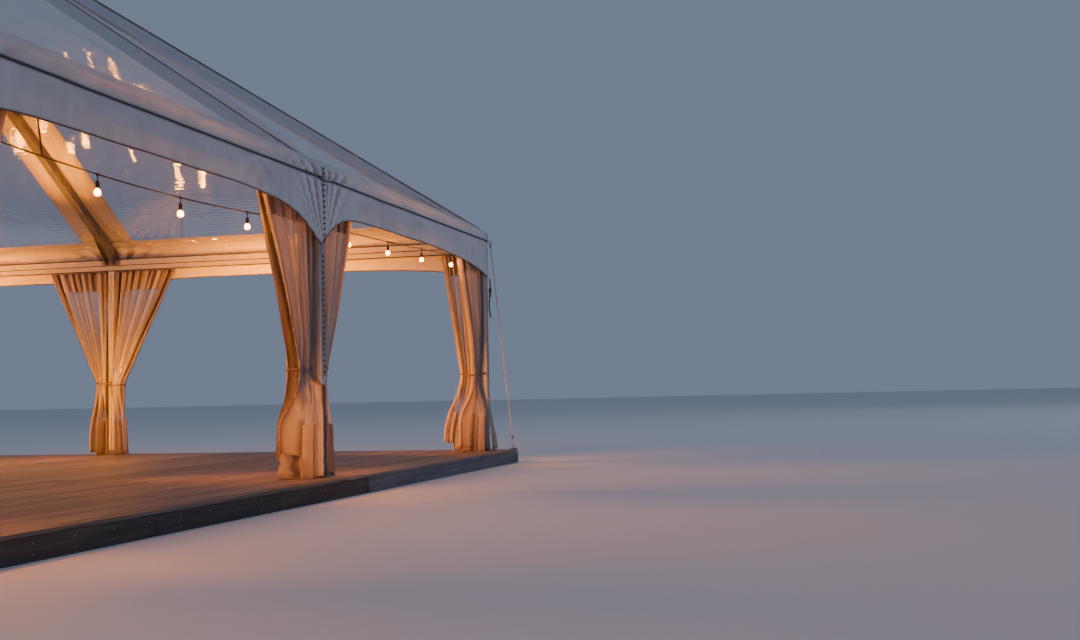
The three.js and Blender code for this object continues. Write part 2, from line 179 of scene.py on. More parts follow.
def join(name, pieces):
    """Joins pieces into one object; the first one's name goes."""
    with bpy.context.temp_override(active_object=pieces[0], selected_editable_objects=pieces):
        bpy.ops.object.join()
    pieces[0].name = name
    pieces[0].data.name = name
    return pieces[0]


# %% [markdown]
# ## Light
# Plain soft studio light: an even pale sky does most of it, and two very large panels give the folds shade.
# A marquee like this is lit from within, so warm panels low in the hall shine up under the roof and on the
# curtains, and every lamp of the strings has a small light of its own.

# %% Floor and studio light
FLOOR = 380
floor = add_mesh("studio_floor", [(x * FLOOR, y * FLOOR, 0) for x, y in ((-1, -1), (1, -1), (1, 1), (-1, 1))],
                 [(0, 1, 2, 3)], [])
floor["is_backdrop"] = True

world = bpy.data.worlds.new("dusk")
bpy.context.scene.world = world
world.use_nodes = True
sky = world.node_tree.nodes["Background"]
sky.inputs["Color"].default_value = (0.42, 0.52, 0.74, 1)
sky.inputs["Strength"].default_value = 0.4
bpy.context.scene.cycles.transparent_max_bounces = 16
COOL = (0.74, 0.8, 1.0)
WARM = (1.0, 0.26, 0.0)
LAMP_TONE = (1.0, 0.34, 0.03)


def add_light(name, kind, power, colour, place):
    """A light that the camera doesn't see; a mirror sees only the small ones."""
    lamp = bpy.data.lights.new(name, kind)
    lamp.energy = power
    lamp.color = colour
    light = add_object(name, lamp)
    light.location = place
    light.visible_camera = False
    light.visible_glossy = kind == "POINT"
    return light


def add_panel(name, power, size, spread, place, aim, colour=WARM):
    light = add_light(name, "AREA", power, colour, place)
    light.data.shape = "DISK"
    light.data.size = size
    light.data.spread = math.radians(spread)
    light.rotation_euler = (Vector(aim) - Vector(place)).to_track_quat("-Z", "Y").to_euler()


def add_point(name, power, size, place):
    add_light(name, "POINT", power, LAMP_TONE, place).data.shadow_soft_size = size


add_panel("studio_front", 4300, 22, 180, (30, -48, 24), (1, -3, 2), COOL)
add_panel("studio_back", 4300, 22, 180, (-30, 48, 24), (-1, 3, 2), COOL)
for x in (-6.0, -2.0, 2.0, 6.0):
    add_panel("hall_glow", 28, 1.0, 180, (x, 0, 2.45), (x, 0, 0))

# %% Warm light on the eaves, the ends and the curtains
for sign in (-1, 1):
    eave, end = sign * HALF_WIDTH, sign * HALF_LENGTH
    for x in (-BAY, 0.0, BAY):
        add_panel("eave_glow", 175, 1.6, 70, (x, sign * 2.4, 1.6), (x, eave, 2.5))
        for way in (-1, 1):
            place, aim = (x + 0.4 * way, sign * 5.1, 1.4), (x + 2.75 * way, sign * 5.6, 0.8)
            add_panel("bay_glow", 14, 0.7, 80, place, aim)
    for x in (-HALF_LENGTH, -HALF_RIDGE, HALF_RIDGE, HALF_LENGTH):
        add_panel("curtain_glow", 58, 1.2, 100, (0.9 * x, sign * 3.1, 1.0), (x, eave, 1.25))
    for y in (-2.7, 2.7):
        add_panel("end_glow", 140, 1.6, 70, (sign * 5.2, y, 1.8), (sign * 8.3, y, 2.7))
    add_panel("end_strip_glow", 80, 0.5, 80, (sign * 6.6, 0, 2.3), (sign * 6.2, 0, 5))
    add_panel("curtain_glow", 58, 1.2, 100, (sign * 5.6, 0, 1.0), (end, 0, 1.25))

# Small low lights, which the clear end slopes mirror as stacks of streaks
LOW_LIGHTS = ((5.6, 1.1), (5.77, 0.6), (5.9, 0.2), (6.06, -0.15), (6.37, -0.5), (6.6, -0.87), (6.75, 2.1),
              (7.1, 1.7), (6.86, 1.4), (7.2, 0.55), (7.54, -0.27), (7.62, -0.67))
for number, (x, y) in enumerate(LOW_LIGHTS):
    for sign in (-1, 1):
        add_point("low_light", 7 + 3 * (number % 3), 0.04, (sign * x, sign * y, 1.3))

# %% [markdown]
# ## Finishes
# A small helper adds a node and sets or links its inputs, so that a finish reads as a list of what it is made
# of. Patterns read Object coordinates in metres, or the sheet's own UV map, in metres of flat cloth.

# %% A helper for finishes


def add_node(tree, kind, *values, **settings):
    """Adds a node to a tree and feeds its inputs, each named or numbered, from sockets or plain values."""
    made = tree.nodes.new(kind)
    for key, value in settings.items():
        setattr(made, key, value)
    for slot, value in values:
        socket = made.inputs[slot]
        if isinstance(value, bpy.types.NodeSocket):
            tree.links.new(value, socket)
        else:
            socket.default_value = (*value, 1) if socket.type == "RGBA" else value
    return made


def dimmed(colour, share):
    return tuple(share * c for c in colour)


class Finish:
    """A material that is being mixed."""

    def __init__(self, name):
        self.material = bpy.data.materials.new(name)
        self.material.use_nodes = True
        self.tree = self.material.node_tree
        self.tree.nodes.clear()

    def node(self, kind, *values, **settings):
        return add_node(self.tree, "ShaderNode" + kind, *values, **settings).outputs

    def coordinates(self, stretch=(1, 1, 1), source="Object", shift=None):
        vector = self.node("TexCoord")[source]
        if shift is not None:
            vector = self.node("VectorMath", (0, vector), (1, shift), operation="ADD")[0]
        return self.node("Mapping", ("Vector", vector), ("Scale", stretch))[0]

    def cloth(self, stretch=(1, 1, 1)):
        return self.coordinates(stretch, "UV")

    def noise(self, vector, scale=1.0, detail=4.0, rough=0.5, warp=0.0):
        return self.node("TexNoise", ("Vector", vector), ("Scale", scale), ("Detail", detail),
                         ("Roughness", rough), ("Distortion", warp))["Fac"]

    def attribute(self, name):
        return self.node("Attribute", attribute_name=name)["Fac"]

    def ramp(self, factor, *stops):
        made = add_node(self.tree, "ShaderNodeValToRGB", ("Fac", factor))
        elements = made.color_ramp.elements
        while len(elements) < len(stops):
            elements.new(0.5)
        for element, (place, tone) in zip(elements, stops):
            element.position = place
            element.color = (tone, tone, tone, 1) if isinstance(tone, (int, float)) else (*tone, 1)
        return made.outputs["Color"]

    def math(self, operation, a, b=0.0, c=0.0, clamp=False):
        return self.node("Math", (0, a), (1, b), (2, c), operation=operation, use_clamp=clamp)[0]

    def mix(self, factor, a, b, blend="MIX"):
        return self.node("Mix", (0, factor), (6, a), (7, b), data_type="RGBA", blend_type=blend)[2]

    def bump(self, height, distance, strength=1.0, under=None):
        values = [("Height", height), ("Distance", distance), ("Strength", strength)]
        if under is not None:
            values.append(("Normal", under))
        return self.node("Bump", *values)[0]

    def blend(self, share, first, second):
        return self.node("MixShader", (0, share), (1, first), (2, second))[0]

    def translucent(self, colour, normal):
        return self.node("BsdfTranslucent", ("Color", colour), ("Normal", normal))[0]

    def principled(self, **values):
        sockets = ((key.replace("_", " "), value) for key, value in values.items())
        return self.node("BsdfPrincipled", *sockets)[0]

    def surface(self, shader):
        self.node("OutputMaterial", ("Surface", shader))
        return self.material


# %% Alloy and steel
def alloy_finish(name, dark, light, rough, streak, metal):
    f = Finish(name)
    drawn = f.noise(f.coordinates(streak), 1.0, 5, 0.6)
    marks = f.noise(f.coordinates((3, 3, 3)), 2.2, 6, 0.62)
    tone = f.mix(f.ramp(marks, (0.35, 0.0), (0.75, 1.0)), dark, light)
    tone = f.mix(0.35, tone, f.ramp(drawn, (0.3, dimmed(dark, 0.8)), (0.7, light)))
    roughness = f.ramp(marks, (0.3, rough + 0.14), (0.8, rough))
    return f.surface(f.principled(Base_Color=tone, Metallic=metal, Roughness=roughness,
                                  Normal=f.bump(drawn, 0.0006, 0.35)))


ALLOY = ((0.5, 0.51, 0.52), (0.74, 0.74, 0.75), 0.36)
# The rafters are the same drawn alloy made dark, which paints the shade on their sides.
SHADED_ALLOY = ((0.2, 0.22, 0.25), (0.36, 0.38, 0.42), 0.4)
post_alloy = alloy_finish("drawn_alloy_upright", *ALLOY, (60, 60, 1.2), 0.45)
beam_alloy = alloy_finish("drawn_alloy_level", *ALLOY, (2.5, 2.5, 70), 0.45)
shaded_rafter_alloy = alloy_finish("drawn_alloy_rafter_painted_shade", *SHADED_ALLOY, (2.5, 2.5, 70), 0.8)
steel = alloy_finish("zinc_plated_steel", (0.24, 0.25, 0.27), (0.46, 0.47, 0.5), 0.42, (25, 25, 25), 0.92)


# %% Coated white fabric
# The fabric is polyester with a white coating: satin, a fine basket weave, faint storage creases, and panels
# welded side by side. Rain leaves it slightly grey in places. The crease attribute paints shade and highlight:
# it darkens the hollows of the folds, which are above 0, towards dark grey, and lightens their ridges.
def white_fabric(name, clean, grey, weld_pitch, from_behind):
    f = Finish(name)
    flat = f.cloth()
    stain = f.noise(f.coordinates((0.9, 0.9, 1.6)), 1.3, 7, 0.62, 0.4)
    streaks = f.noise(f.cloth((9, 0.8, 1)), 1.0, 5, 0.6)
    tone = f.mix(f.ramp(stain, (0.38, 0.0), (0.72, 0.75)), clean, grey)
    tone = f.mix(f.ramp(streaks, (0.45, 0.0), (0.8, 0.35)), tone, dimmed(grey, 0.8))
    across = f.node("SeparateXYZ", ("Vector", flat))[0]
    to_weld = f.math("PINGPONG", f.math("ADD", across, 0.2), 0.5 * weld_pitch)
    weld = f.ramp(f.math("DIVIDE", to_weld, 0.5 * weld_pitch), (0.0, 1.0), (0.045, 1.0), (0.055, 0.0))
    tone = f.mix(f.math("MULTIPLY", weld, 0.12), tone, grey)
    fold_shade = f.attribute("fold_shade")
    tone = f.mix(f.math("MULTIPLY", fold_shade, 0.9, clamp=True), tone, dimmed(grey, 0.12))
    tone = f.mix(f.math("MULTIPLY", fold_shade, -0.75, clamp=True), tone, (0.9, 0.89, 0.9))
    weave = f.node("TexWave", ("Vector", flat), ("Scale", 210.0), ("Distortion", 0.6), wave_type="BANDS",
                   bands_direction="DIAGONAL")["Fac"]
    cells = f.node("TexVoronoi", ("Vector", f.cloth((1.3, 0.7, 1))), ("Scale", 2.4),
                   feature="DISTANCE_TO_EDGE")["Distance"]
    normal = f.bump(f.noise(f.cloth(), 5.5, 6, 0.6, 0.8), 0.02, 0.55)
    normal = f.bump(f.ramp(cells, (0.0, 0.0), (0.05, 1.0)), 0.003, 0.35, normal)
    normal = f.bump(weld, 0.0012, 0.8, normal)
    normal = f.bump(weave, 0.0003, 0.25, normal)
    coated = f.principled(Base_Color=tone, Roughness=0.42, Specular_IOR_Level=0.45, Sheen_Weight=0.12,
                          Normal=normal)
    return f.surface(f.blend(from_behind, coated, f.translucent(tone, normal)))


cover_fabric = white_fabric("white_cover_fabric", (0.7, 0.7, 0.72), (0.5, 0.5, 0.52), 1.6, 0.22)
valance_fabric = white_fabric("white_valance_fabric", (0.66, 0.66, 0.68), (0.46, 0.46, 0.48), 1.6, 0.12)
curtain_border = white_fabric("curtain_border_fabric", (0.8, 0.74, 0.68), (0.6, 0.54, 0.49), 1.3, 0.72)
# The post strips are the same white fabric made dark grey, which paints the shade that lies on them.
shaded_strip_fabric = white_fabric("post_strip_painted_shade", (0.34, 0.34, 0.37), (0.22, 0.22, 0.25), 1.6, 0.12)


# %% Clear vinyl
# Clear vinyl shows mostly what is behind it. What it adds is a mirror film, by Fresnel but never strong, whose
# fine ripples break each lamp's reflection into a stack of streaks, and a milky share that takes light from
# both sides.
def clear_vinyl(name, tint, haze, film, rough, ripple, pitch, body, from_behind, streak):
    f = Finish(name)
    waves = f.node("TexWave", ("Vector", f.cloth()), ("Scale", 0.314 / pitch), ("Distortion", 3.0),
                   ("Detail", 2.0), ("Detail Scale", 0.35), wave_type="BANDS", bands_direction="Y")["Fac"]
    rolling = f.bump(f.noise(f.cloth(), 1.7, 4, 0.5, 0.5), 0.005, 1.0)
    patches = f.ramp(f.noise(f.cloth(), 0.9, 3, 0.5), (0.42, 0.15), (0.66, 1.0))
    rippled = f.bump(f.math("MULTIPLY", waves, patches), ripple, 1.0, rolling)
    smear = f.ramp(f.noise(f.cloth((streak, 0.6, 1)), 1.6, 8, 0.68), (0.42, 0.0), (0.8, 1.0))
    # Painted shade and highlight: the crease attribute darkens the milky colour in the hollows of the pleats,
    # lightens it on their ridges, and thickens the milky share in both.
    fold_shade = f.attribute("fold_shade")
    milky_share = f.math("MULTIPLY_ADD", smear, 2 * haze, haze)
    milky_share = f.math("MULTIPLY_ADD", f.math("ABSOLUTE", fold_shade), 0.22, milky_share)
    tone = f.mix(f.math("MULTIPLY", fold_shade, 0.8, clamp=True), body, dimmed(body, 0.18))
    tone = f.mix(f.math("MULTIPLY", fold_shade, -0.8, clamp=True), tone, (0.95, 0.92, 0.88))
    front = f.principled(Base_Color=tone, Roughness=0.55, Normal=rolling)
    milk = f.blend(from_behind, front, f.translucent(tone, rolling))
    through = f.node("BsdfTransparent", ("Color", tint))[0]
    mirror = f.principled(Base_Color=(0.95, 0.97, 1.0), Metallic=1.0, Roughness=rough, Normal=rippled)
    film_share = f.math("MINIMUM", f.node("Fresnel", ("IOR", 1.46))[0], film)
    return f.surface(f.blend(film_share, f.blend(milky_share, through, milk), mirror))


roof_vinyl = clear_vinyl("clear_roof_vinyl", (0.985, 0.988, 0.995), 0.006, 0.36, 0.035, 0.0011, 0.06,
                         (0.72, 0.74, 0.8), 0.5, 2.5)
curtain_vinyl = clear_vinyl("clear_curtain_vinyl", (0.965, 0.955, 0.94), 0.11, 0.2, 0.14, 0.004, 0.14,
                            (0.86, 0.78, 0.7), 0.55, 14)


# %% Timber
# Each board stores a tone, which also moves the grain, so that no two boards are alike.
def timber_finish(name, tones, patch_tone, rough, spread):
    f = Finish(name)
    tone = f.attribute("tone")
    moves = [(axis, f.math("MULTIPLY", tone, far)) for axis, far in enumerate((61, 17, 29))]
    jump = f.node("CombineXYZ", *moves)[0]
    grain = f.noise(f.coordinates((1.1, 26, 26), shift=jump), 1.0, 9, 0.62, 0.7)
    pores = f.noise(f.coordinates((9, 260, 260), shift=jump), 1.0, 3, 0.6)
    patch = f.noise(f.coordinates((0.8, 2.5, 2.5), shift=jump), 1.2, 4, 0.5)
    colour = f.ramp(grain, *zip((0.25, 0.5, 0.78), tones))
    colour = f.mix(f.ramp(patch, (0.35, 0.0), (0.75, 0.5)), colour, patch_tone)
    colour = f.mix(1.0, colour, f.math("MULTIPLY_ADD", tone, 2 * spread, 1 - spread), "MULTIPLY")
    roughness = f.ramp(grain, (0.2, rough + 0.15), (0.8, rough))
    normal = f.bump(pores, 0.0005, 0.5, f.bump(grain, 0.0016, 0.7))
    return f.surface(f.principled(Base_Color=colour, Roughness=roughness, Normal=normal))


# The tones of the grain, from its dark lines to its light ones
BOARD_TONES = ((0.085, 0.062, 0.05), (0.17, 0.13, 0.105), (0.26, 0.21, 0.175))
# The nearly black tones paint the shadow on the fascia boards, and on the hidden joists.
SHADOW_TONES = ((0.018, 0.016, 0.015), (0.04, 0.035, 0.031), (0.075, 0.068, 0.062))
WEATHERED_TONES = ((0.07, 0.075, 0.09), (0.12, 0.13, 0.155), (0.19, 0.2, 0.23))
deck_timber = timber_finish("deck_board_timber", BOARD_TONES, (0.15, 0.135, 0.12), 0.5, 0.28)
shadow_dark_timber = timber_finish("fascia_timber_painted_shadow", SHADOW_TONES, (0.05, 0.05, 0.052), 0.62, 0.35)
weathered_timber = timber_finish("weathered_fascia_timber", WEATHERED_TONES, (0.1, 0.105, 0.12), 0.7, 0.15)


# %% Rope, rubber, cord and lamps
def simple_finish(name, dark, light, rough, scale, depth):
    f = Finish(name)
    grain = f.noise(f.coordinates(), scale, 5, 0.6)
    tone = f.mix(f.ramp(grain, (0.3, 0.0), (0.7, 1.0)), dark, light)
    return f.surface(f.principled(Base_Color=tone, Roughness=rough, Normal=f.bump(grain, depth, 0.6)))


def braided_finish(name, dark, light, turns, lay):
    """Strands cross on a cord: the sweep stores how far along and how far round each point is."""
    f = Finish(name)
    along = f.math("MULTIPLY", f.attribute("along"), lay)
    around = f.math("MULTIPLY", f.attribute("around"), turns)
    strand = f.math("MAXIMUM", *(f.math("SINE", f.math(way, along, around)) for way in ("ADD", "SUBTRACT")))
    tone = f.mix(f.ramp(strand, (0.2, 0.0), (0.9, 1.0)), dark, light)
    return f.surface(f.principled(Base_Color=tone, Roughness=0.7, Normal=f.bump(strand, 0.0015, 0.8)))


black_rubber = simple_finish("black_rubber", (0.008, 0.008, 0.009), (0.022, 0.022, 0.024), 0.5, 60, 0.0004)
black_webbing = simple_finish("black_webbing", (0.01, 0.01, 0.011), (0.03, 0.03, 0.034), 0.8, 420, 0.0008)
seam_rubber = simple_finish("seam_cord_cover", (0.02, 0.022, 0.028), (0.05, 0.055, 0.065), 0.45, 40, 0.0005)
stay_braid = braided_finish("stay_braid", (0.3, 0.29, 0.27), (0.72, 0.7, 0.66), 8 * math.pi, 260.0)
hip_keder = simple_finish("hip_keder_cover", (0.09, 0.1, 0.12), (0.2, 0.22, 0.26), 0.5, 40, 0.0004)
hem_binding = simple_finish("hem_binding", (0.05, 0.045, 0.05), (0.13, 0.11, 0.12), 0.6, 30, 0.0005)
tie_webbing = simple_finish("curtain_tie_webbing", (0.12, 0.09, 0.075), (0.22, 0.17, 0.14), 0.75, 380, 0.0006)


def lamp_finish(name, colour, strength, see_through):
    """A lamp's glass glows a little and lets its hot coil show."""
    f = Finish(name)
    tone = f.mix(f.noise(f.coordinates(), 70, 3, 0.5), colour, tuple(min(1.0, 1.25 * c) for c in colour))
    glass = f.principled(Base_Color=tone, Roughness=0.12, Emission_Color=tone, Emission_Strength=strength)
    if not see_through:
        return f.surface(glass)
    clear = f.node("BsdfTransparent", ("Color", (1.0, 0.9, 0.75)))[0]
    return f.surface(f.blend(1 - see_through, clear, glass))


lamp_glass = lamp_finish("lamp_glass", (1.0, 0.36, 0.04), 2.4, 0.4)
lamp_coil = lamp_finish("lamp_coil", (1.0, 0.66, 0.3), 120.0, 0)
plain_floor = Finish("plain_floor")
floor.data.materials.append(plain_floor.surface(
    plain_floor.principled(Base_Color=(0.72, 0.72, 0.72), Roughness=0.85)))

# %% [markdown]
# ## Three trees for what repeats
# Boards, bolts, hooks, knots and lamps are copies of one small pattern, and cords are a round section along a
# path. Geometry Nodes make both kinds: the points or the path carry the sizes, and a tree places the copies,
# makes them real and gives them their finish. The result is a plain mesh, and the helper objects go away.

# %% Building a tree and running it


def start_tree(name, **sockets):
    tree = bpy.data.node_groups.new(name, "GeometryNodeTree")
    tree.interface.new_socket("Geometry", in_out="INPUT", socket_type="NodeSocketGeometry")
    for label, kind in sockets.items():
        tree.interface.new_socket(label, in_out="INPUT", socket_type="NodeSocket" + kind)
    tree.interface.new_socket("Geometry", in_out="OUTPUT", socket_type="NodeSocketGeometry")

    def grow(kind, *links, **settings):
        return add_node(tree, kind, *links, **settings).outputs

    return tree, grow, grow("NodeGroupInput")


def close_tree(tree, grow, geometry, finish):
    real = grow("GeometryNodeRealizeInstances", ("Geometry", geometry))[0]
    done = grow("GeometryNodeSetMaterial", ("Geometry", real), ("Material", finish))[0]
    add_node(tree, "NodeGroupOutput", (0, done))


def run_tree(name, tree, carrier, **values):
    """The carrier's geometry goes through the tree; a new plain mesh object comes out."""
    modifier = carrier.modifiers.new("tree", "NODES")
    modifier.node_group = tree
    for item in tree.interface.items_tree:
        if item.in_out == "INPUT" and item.name in values:
            modifier[item.identifier] = values[item.name]
    bpy.context.view_layer.update()
    seen = carrier.evaluated_get(bpy.context.evaluated_depsgraph_get())
    mesh = bpy.data.meshes.new_from_object(seen)
    mesh.name = name
    bpy.data.objects.remove(carrier)
    return add_object(name, mesh)


# %% Copies on points
copies, grow, begin = start_tree("copies_on_points", Copy="Object", Finish="Material")
pattern = grow("GeometryNodeObjectInfo", ("Object", begin["Copy"]))["Geometry"]
turn, size = (grow("GeometryNodeInputNamedAttribute", ("Name", name), data_type="FLOAT_VECTOR")[0]
              for name in ("turn", "size"))
rotation = grow("FunctionNodeEulerToRotation", (0, turn))[0]
placed = grow("GeometryNodeInstanceOnPoints", ("Points", begin[0]), ("Instance", pattern),
              ("Rotation", rotation), ("Scale", size))[0]
close_tree(copies, grow, placed, begin["Finish"])

# %% Copies at a pitch along a path
pitched, grow, begin = start_tree("copies_along_path", Copy="Object", Pitch="Float", Finish="Material")
path = grow("GeometryNodeMeshToCurve", ("Mesh", begin[0]))[0]
steps = grow("GeometryNodeResampleCurve", ("Curve", path), ("Length", begin["Pitch"]), mode="LENGTH")[0]
facing = grow("FunctionNodeAlignRotationToVector", ("Vector", grow("GeometryNodeInputTangent")[0]), axis="X")[0]
pattern = grow("GeometryNodeObjectInfo", ("Object", begin["Copy"]))["Geometry"]
placed = grow("GeometryNodeInstanceOnPoints", ("Points", steps), ("Instance", pattern), ("Rotation", facing))[0]
close_tree(pitched, grow, placed, begin["Finish"])

# %% A round section along a path
swept, grow, begin = start_tree("round_section_along_path", Radius="Float", Sides="Int", Finish="Material")


def note(geometry, name, measure):
    value = grow("GeometryNodeSplineParameter")[measure]
    return grow("GeometryNodeStoreNamedAttribute", ("Geometry", geometry), ("Name", name), ("Value", value),
                data_type="FLOAT", domain="POINT")[0]


path = note(grow("GeometryNodeMeshToCurve", ("Mesh", begin[0]))[0], "along", "Length")
ring = grow("GeometryNodeCurvePrimitiveCircle", ("Resolution", begin["Sides"]), ("Radius", begin["Radius"]))[0]
ring = note(ring, "around", "Factor")
tube = grow("GeometryNodeCurveToMesh", ("Curve", path), ("Profile Curve", ring), ("Fill Caps", True))[0]
close_tree(swept, grow, grow("GeometryNodeSetShadeSmooth", ("Geometry", tube))[0], begin["Finish"])


# %% Carriers for the trees
def path_object(points, closed=False):
    """A chain of edges for a tree that follows a path."""
    count = len(points)
    mesh = bpy.data.meshes.new("path")
    mesh.from_pydata(np.asarray(points, float).tolist(),
                     [(i, (i + 1) % count) for i in range(count if closed else count - 1)], [])
    return add_object("path", mesh)


def cord_along(name, points, radius, finish, sides=8, closed=False):
    return run_tree(name, swept, path_object(points, closed), Radius=radius, Sides=sides, Finish=finish)


def copies_along(name, pattern, points, pitch, finish):
    return run_tree(name, pitched, path_object(points), Copy=pattern, Pitch=pitch, Finish=finish)


def copies_at(name, pattern, places, finish, turns=(0, 0, 0), sizes=(1, 1, 1), tones=0.5):
    """Copies of a pattern, with a turn, a size and a tone for each place."""
    places = np.asarray(places, float).reshape(-1, 3)
    mesh = bpy.data.meshes.new("places")
    mesh.from_pydata(places.tolist(), [], [])
    for label, values, width in (("turn", turns, 3), ("size", sizes, 3), ("tone", tones, 1)):
        layer = mesh.attributes.new(label, "FLOAT_VECTOR" if width == 3 else "FLOAT", "POINT")
        block = np.broadcast_to(np.asarray(values, float).reshape(-1, width), (len(places), width))
        layer.data.foreach_set("vector" if width == 3 else "value", np.ascontiguousarray(block).ravel())
    return run_tree(name, copies, add_object("places", mesh), Copy=pattern, Finish=finish)


# %% Small patterns
# Every pattern is a small closed mesh with its edges rounded, and it is thrown away after its last use.
patterns = []


def from_bmesh(name, bm, smooth=True):
    mesh = bpy.data.meshes.new(name)
    bmesh.ops.recalc_face_normals(bm, faces=bm.faces)
    bm.to_mesh(mesh)
    bm.free()
    mesh.polygons.foreach_set("use_smooth", np.full(len(mesh.polygons), smooth))
    mesh.set_sharp_from_angle(angle=math.radians(40))
    patterns.append(add_object(name, mesh))
    return patterns[-1]


def rounded_cube(name, edge):
    bm = bmesh.new()
    bmesh.ops.create_cube(bm, size=1.0)
    bmesh.ops.bevel(bm, geom=bm.edges, offset=edge, segments=1, affect="EDGES")
    return from_bmesh(name, bm)


def turned_shape(name, profile, sides, smooth=True):
    """A profile of (radius, height) pairs, from the axis back to the axis, turned about Z."""
    bm = bmesh.new()
    angles = [2 * math.pi * i / sides for i in range(sides)]
    rings = []
    for radius, height in profile:
        turns = angles if radius else [0.0]
        ring = [(radius * math.cos(turn), radius * math.sin(turn), height) for turn in turns]
        rings.append([bm.verts.new(point) for point in ring])
    for low, high in zip(rings, rings[1:]):
        for i in range(sides):
            corners = [low[i % len(low)], low[(i + 1) % sides % len(low)], high[(i + 1) % sides % len(high)],
                       high[i % len(high)]]
            bm.faces.new(list(dict.fromkeys(corners)))
    return from_bmesh(name, bm, smooth)


bolt = turned_shape("bolt", [
    (0, -0.001), (0.017, -0.001), (0.017, 0.0025), (0.0125, 0.003), (0.0125, 0.0105), (0.0105, 0.0125),
    (0.0065, 0.0125), (0.0055, 0.0195), (0, 0.0195)], 6, False)
screw = turned_shape("screw", [(0, -0.001), (0.0045, -0.001), (0.0042, 0.0009), (0, 0.0003)], 6)
board_pattern = rounded_cube("board_pattern", 0.035)
plate_pattern = rounded_cube("plate_pattern", 0.02)

# %% [markdown]
# ## Deck
# The deck is rows of timber boards along the length, screwed down to joists, inside a ring of fascia boards.
# Each board is a copy of one unit board, with its own length and tone.

# %% Deck boards
DECK_LONG = 2 * (HALF_LENGTH + DECK_MARGIN)
DECK_WIDE = 2 * (HALF_WIDTH + DECK_MARGIN)
BOARD_ROWS = 82
BOARD_SPACE = 0.006
JOIST_COUNT = 41
SCREW_OFF = 0.045
BUTT_GAP = 0.003
UNEVEN = 0.0004
chance = np.random.default_rng(7)
row_pitch = DECK_WIDE / BOARD_ROWS
joists_x = np.linspace(-DECK_LONG / 2 + JOIST / 2, DECK_LONG / 2 - JOIST / 2, JOIST_COUNT)
places, sizes, tones, screws = [], [], [], []
for row in range(BOARD_ROWS):
    y = -DECK_WIDE / 2 + (row + 0.5) * row_pitch
    # Boards butt over a joist, ten joists apart, and the butts shift from row to row
    cuts = [joists_x[i] for i in range(5 + 5 * (row % 2) + int(chance.integers(0, 2)), JOIST_COUNT - 1, 10)]
    for low, high in zip([-DECK_LONG / 2, *cuts], [*cuts, DECK_LONG / 2]):
        places.append(((low + high) / 2, y, DECK_TOP - BOARD / 2 - UNEVEN * chance.random()))
        sizes.append((high - low - BUTT_GAP, row_pitch - BOARD_SPACE, BOARD - 0.001))
        tones.append(chance.random())
    screws += [(x, y + off, DECK_TOP - 0.0012) for x in joists_x[row % 2::2] for off in (-SCREW_OFF, SCREW_OFF)]
boards = copies_at("deck_boards", board_pattern, places, deck_timber, sizes=sizes, tones=tones)
declare(boards, "deck_boards", "deck_floor")
declare(copies_at("deck_screws", screw, screws, steel), "deck_boards")
print(len(places), "boards,", len(screws), "screws")

# %% Deck fascia and joists
UNDER = DECK_TOP - BOARD - GAP
FASCIA_GAP = 0.004
FASCIA_SCREW_PITCH, FASCIA_SCREW_Z = 0.42, (0.04, 0.105)
FASCIA_JOINTS = (-4.7, -0.8, 3.1)
shadowed, weathered, screws = [], [], []
for side in SIDES.values():
    reach = side["run"] + DECK_MARGIN
    edges = [-reach, *(FASCIA_JOINTS if is_long(side) else (-reach / 3, reach / 3)), reach]
    for low, high in zip(edges, edges[1:]):
        middle = on_side(side, (low + high) / 2, DECK_MARGIN - JOIST / 2, UNDER / 2)
        # The last board of a side stops short of the next side's first one
        trim = JOIST if high == edges[-1] else 0.0
        shift = on_side(side, -trim / 2, -side["offset"], 0)
        size = (high - low - FASCIA_GAP - trim, JOIST - 0.004, UNDER - 0.003)
        # Boards up to the joint at 3.1 m take the nearly black timber, which paints their shadow; the rest keep
        # the weathered grey.
        group = weathered if middle[0] > FASCIA_JOINTS[-1] else shadowed
        group.append((middle + shift, size, (0, 0, side["turn"]), chance.random()))
    for along in np.arange(-side["run"] - 0.2, side["run"] + 0.3, FASCIA_SCREW_PITCH):
        for z in FASCIA_SCREW_Z:
            screws.append((on_side(side, along, DECK_MARGIN - 0.001, z), (0.5 * math.pi, 0, side["turn"])))
for x in joists_x[1:-1]:
    size = (JOIST, DECK_WIDE - 2 * JOIST, UNDER - 0.002)
    shadowed.append(((x, 0, UNDER / 2), size, (0, 0, 0), chance.random()))
for name, group, finish, nodes in (("deck_fascia_and_joists", shadowed, shadow_dark_timber, ["deck_frame"]),
                                   ("deck_fascia_weathered", weathered, weathered_timber, [])):
    places, sizes, turns, tones = zip(*group)
    made = copies_at(name, board_pattern, places, finish, turns=turns, sizes=sizes, tones=tones)
    declare(made, "deck_fascia", *nodes)
places, turns = zip(*screws)
declare(copies_at("fascia_screws", screw, places, steel, turns=turns, sizes=(1.3, 1.3, 1.3)), "deck_fascia")

# %% [markdown]
# ## Aluminium frame
# Posts, beams and rafters are drawn sections with a groove in each face, which takes the edge cord of the
# covers. A groove catches light all along a member and shows what it is, so each section is drawn as an outline
# and pushed along its member. Plates, gussets and bolts go where the members meet.

# %% Drawn sections


def grooved_outline(wide, deep, chamfer=0.006, slot=0.012, recess=0.011):
    """Outline of a box section, centred, with a groove in the middle of each face, anticlockwise."""
    points = []
    for quarter, (cos, sin) in enumerate(((1, 0), (0, 1), (-1, 0), (0, -1))):
        across, out = (wide, deep) if quarter % 2 == 0 else (deep, wide)
        face = [(-across / 2 + chamfer, -out / 2), (-slot / 2, -out / 2), (-slot / 2, -out / 2 + recess),
                (slot / 2, -out / 2 + recess), (slot / 2, -out / 2), (across / 2 - chamfer, -out / 2)]
        points += [(cos * x - sin * y, sin * x + cos * y) for x, y in face]
    return np.array(points)


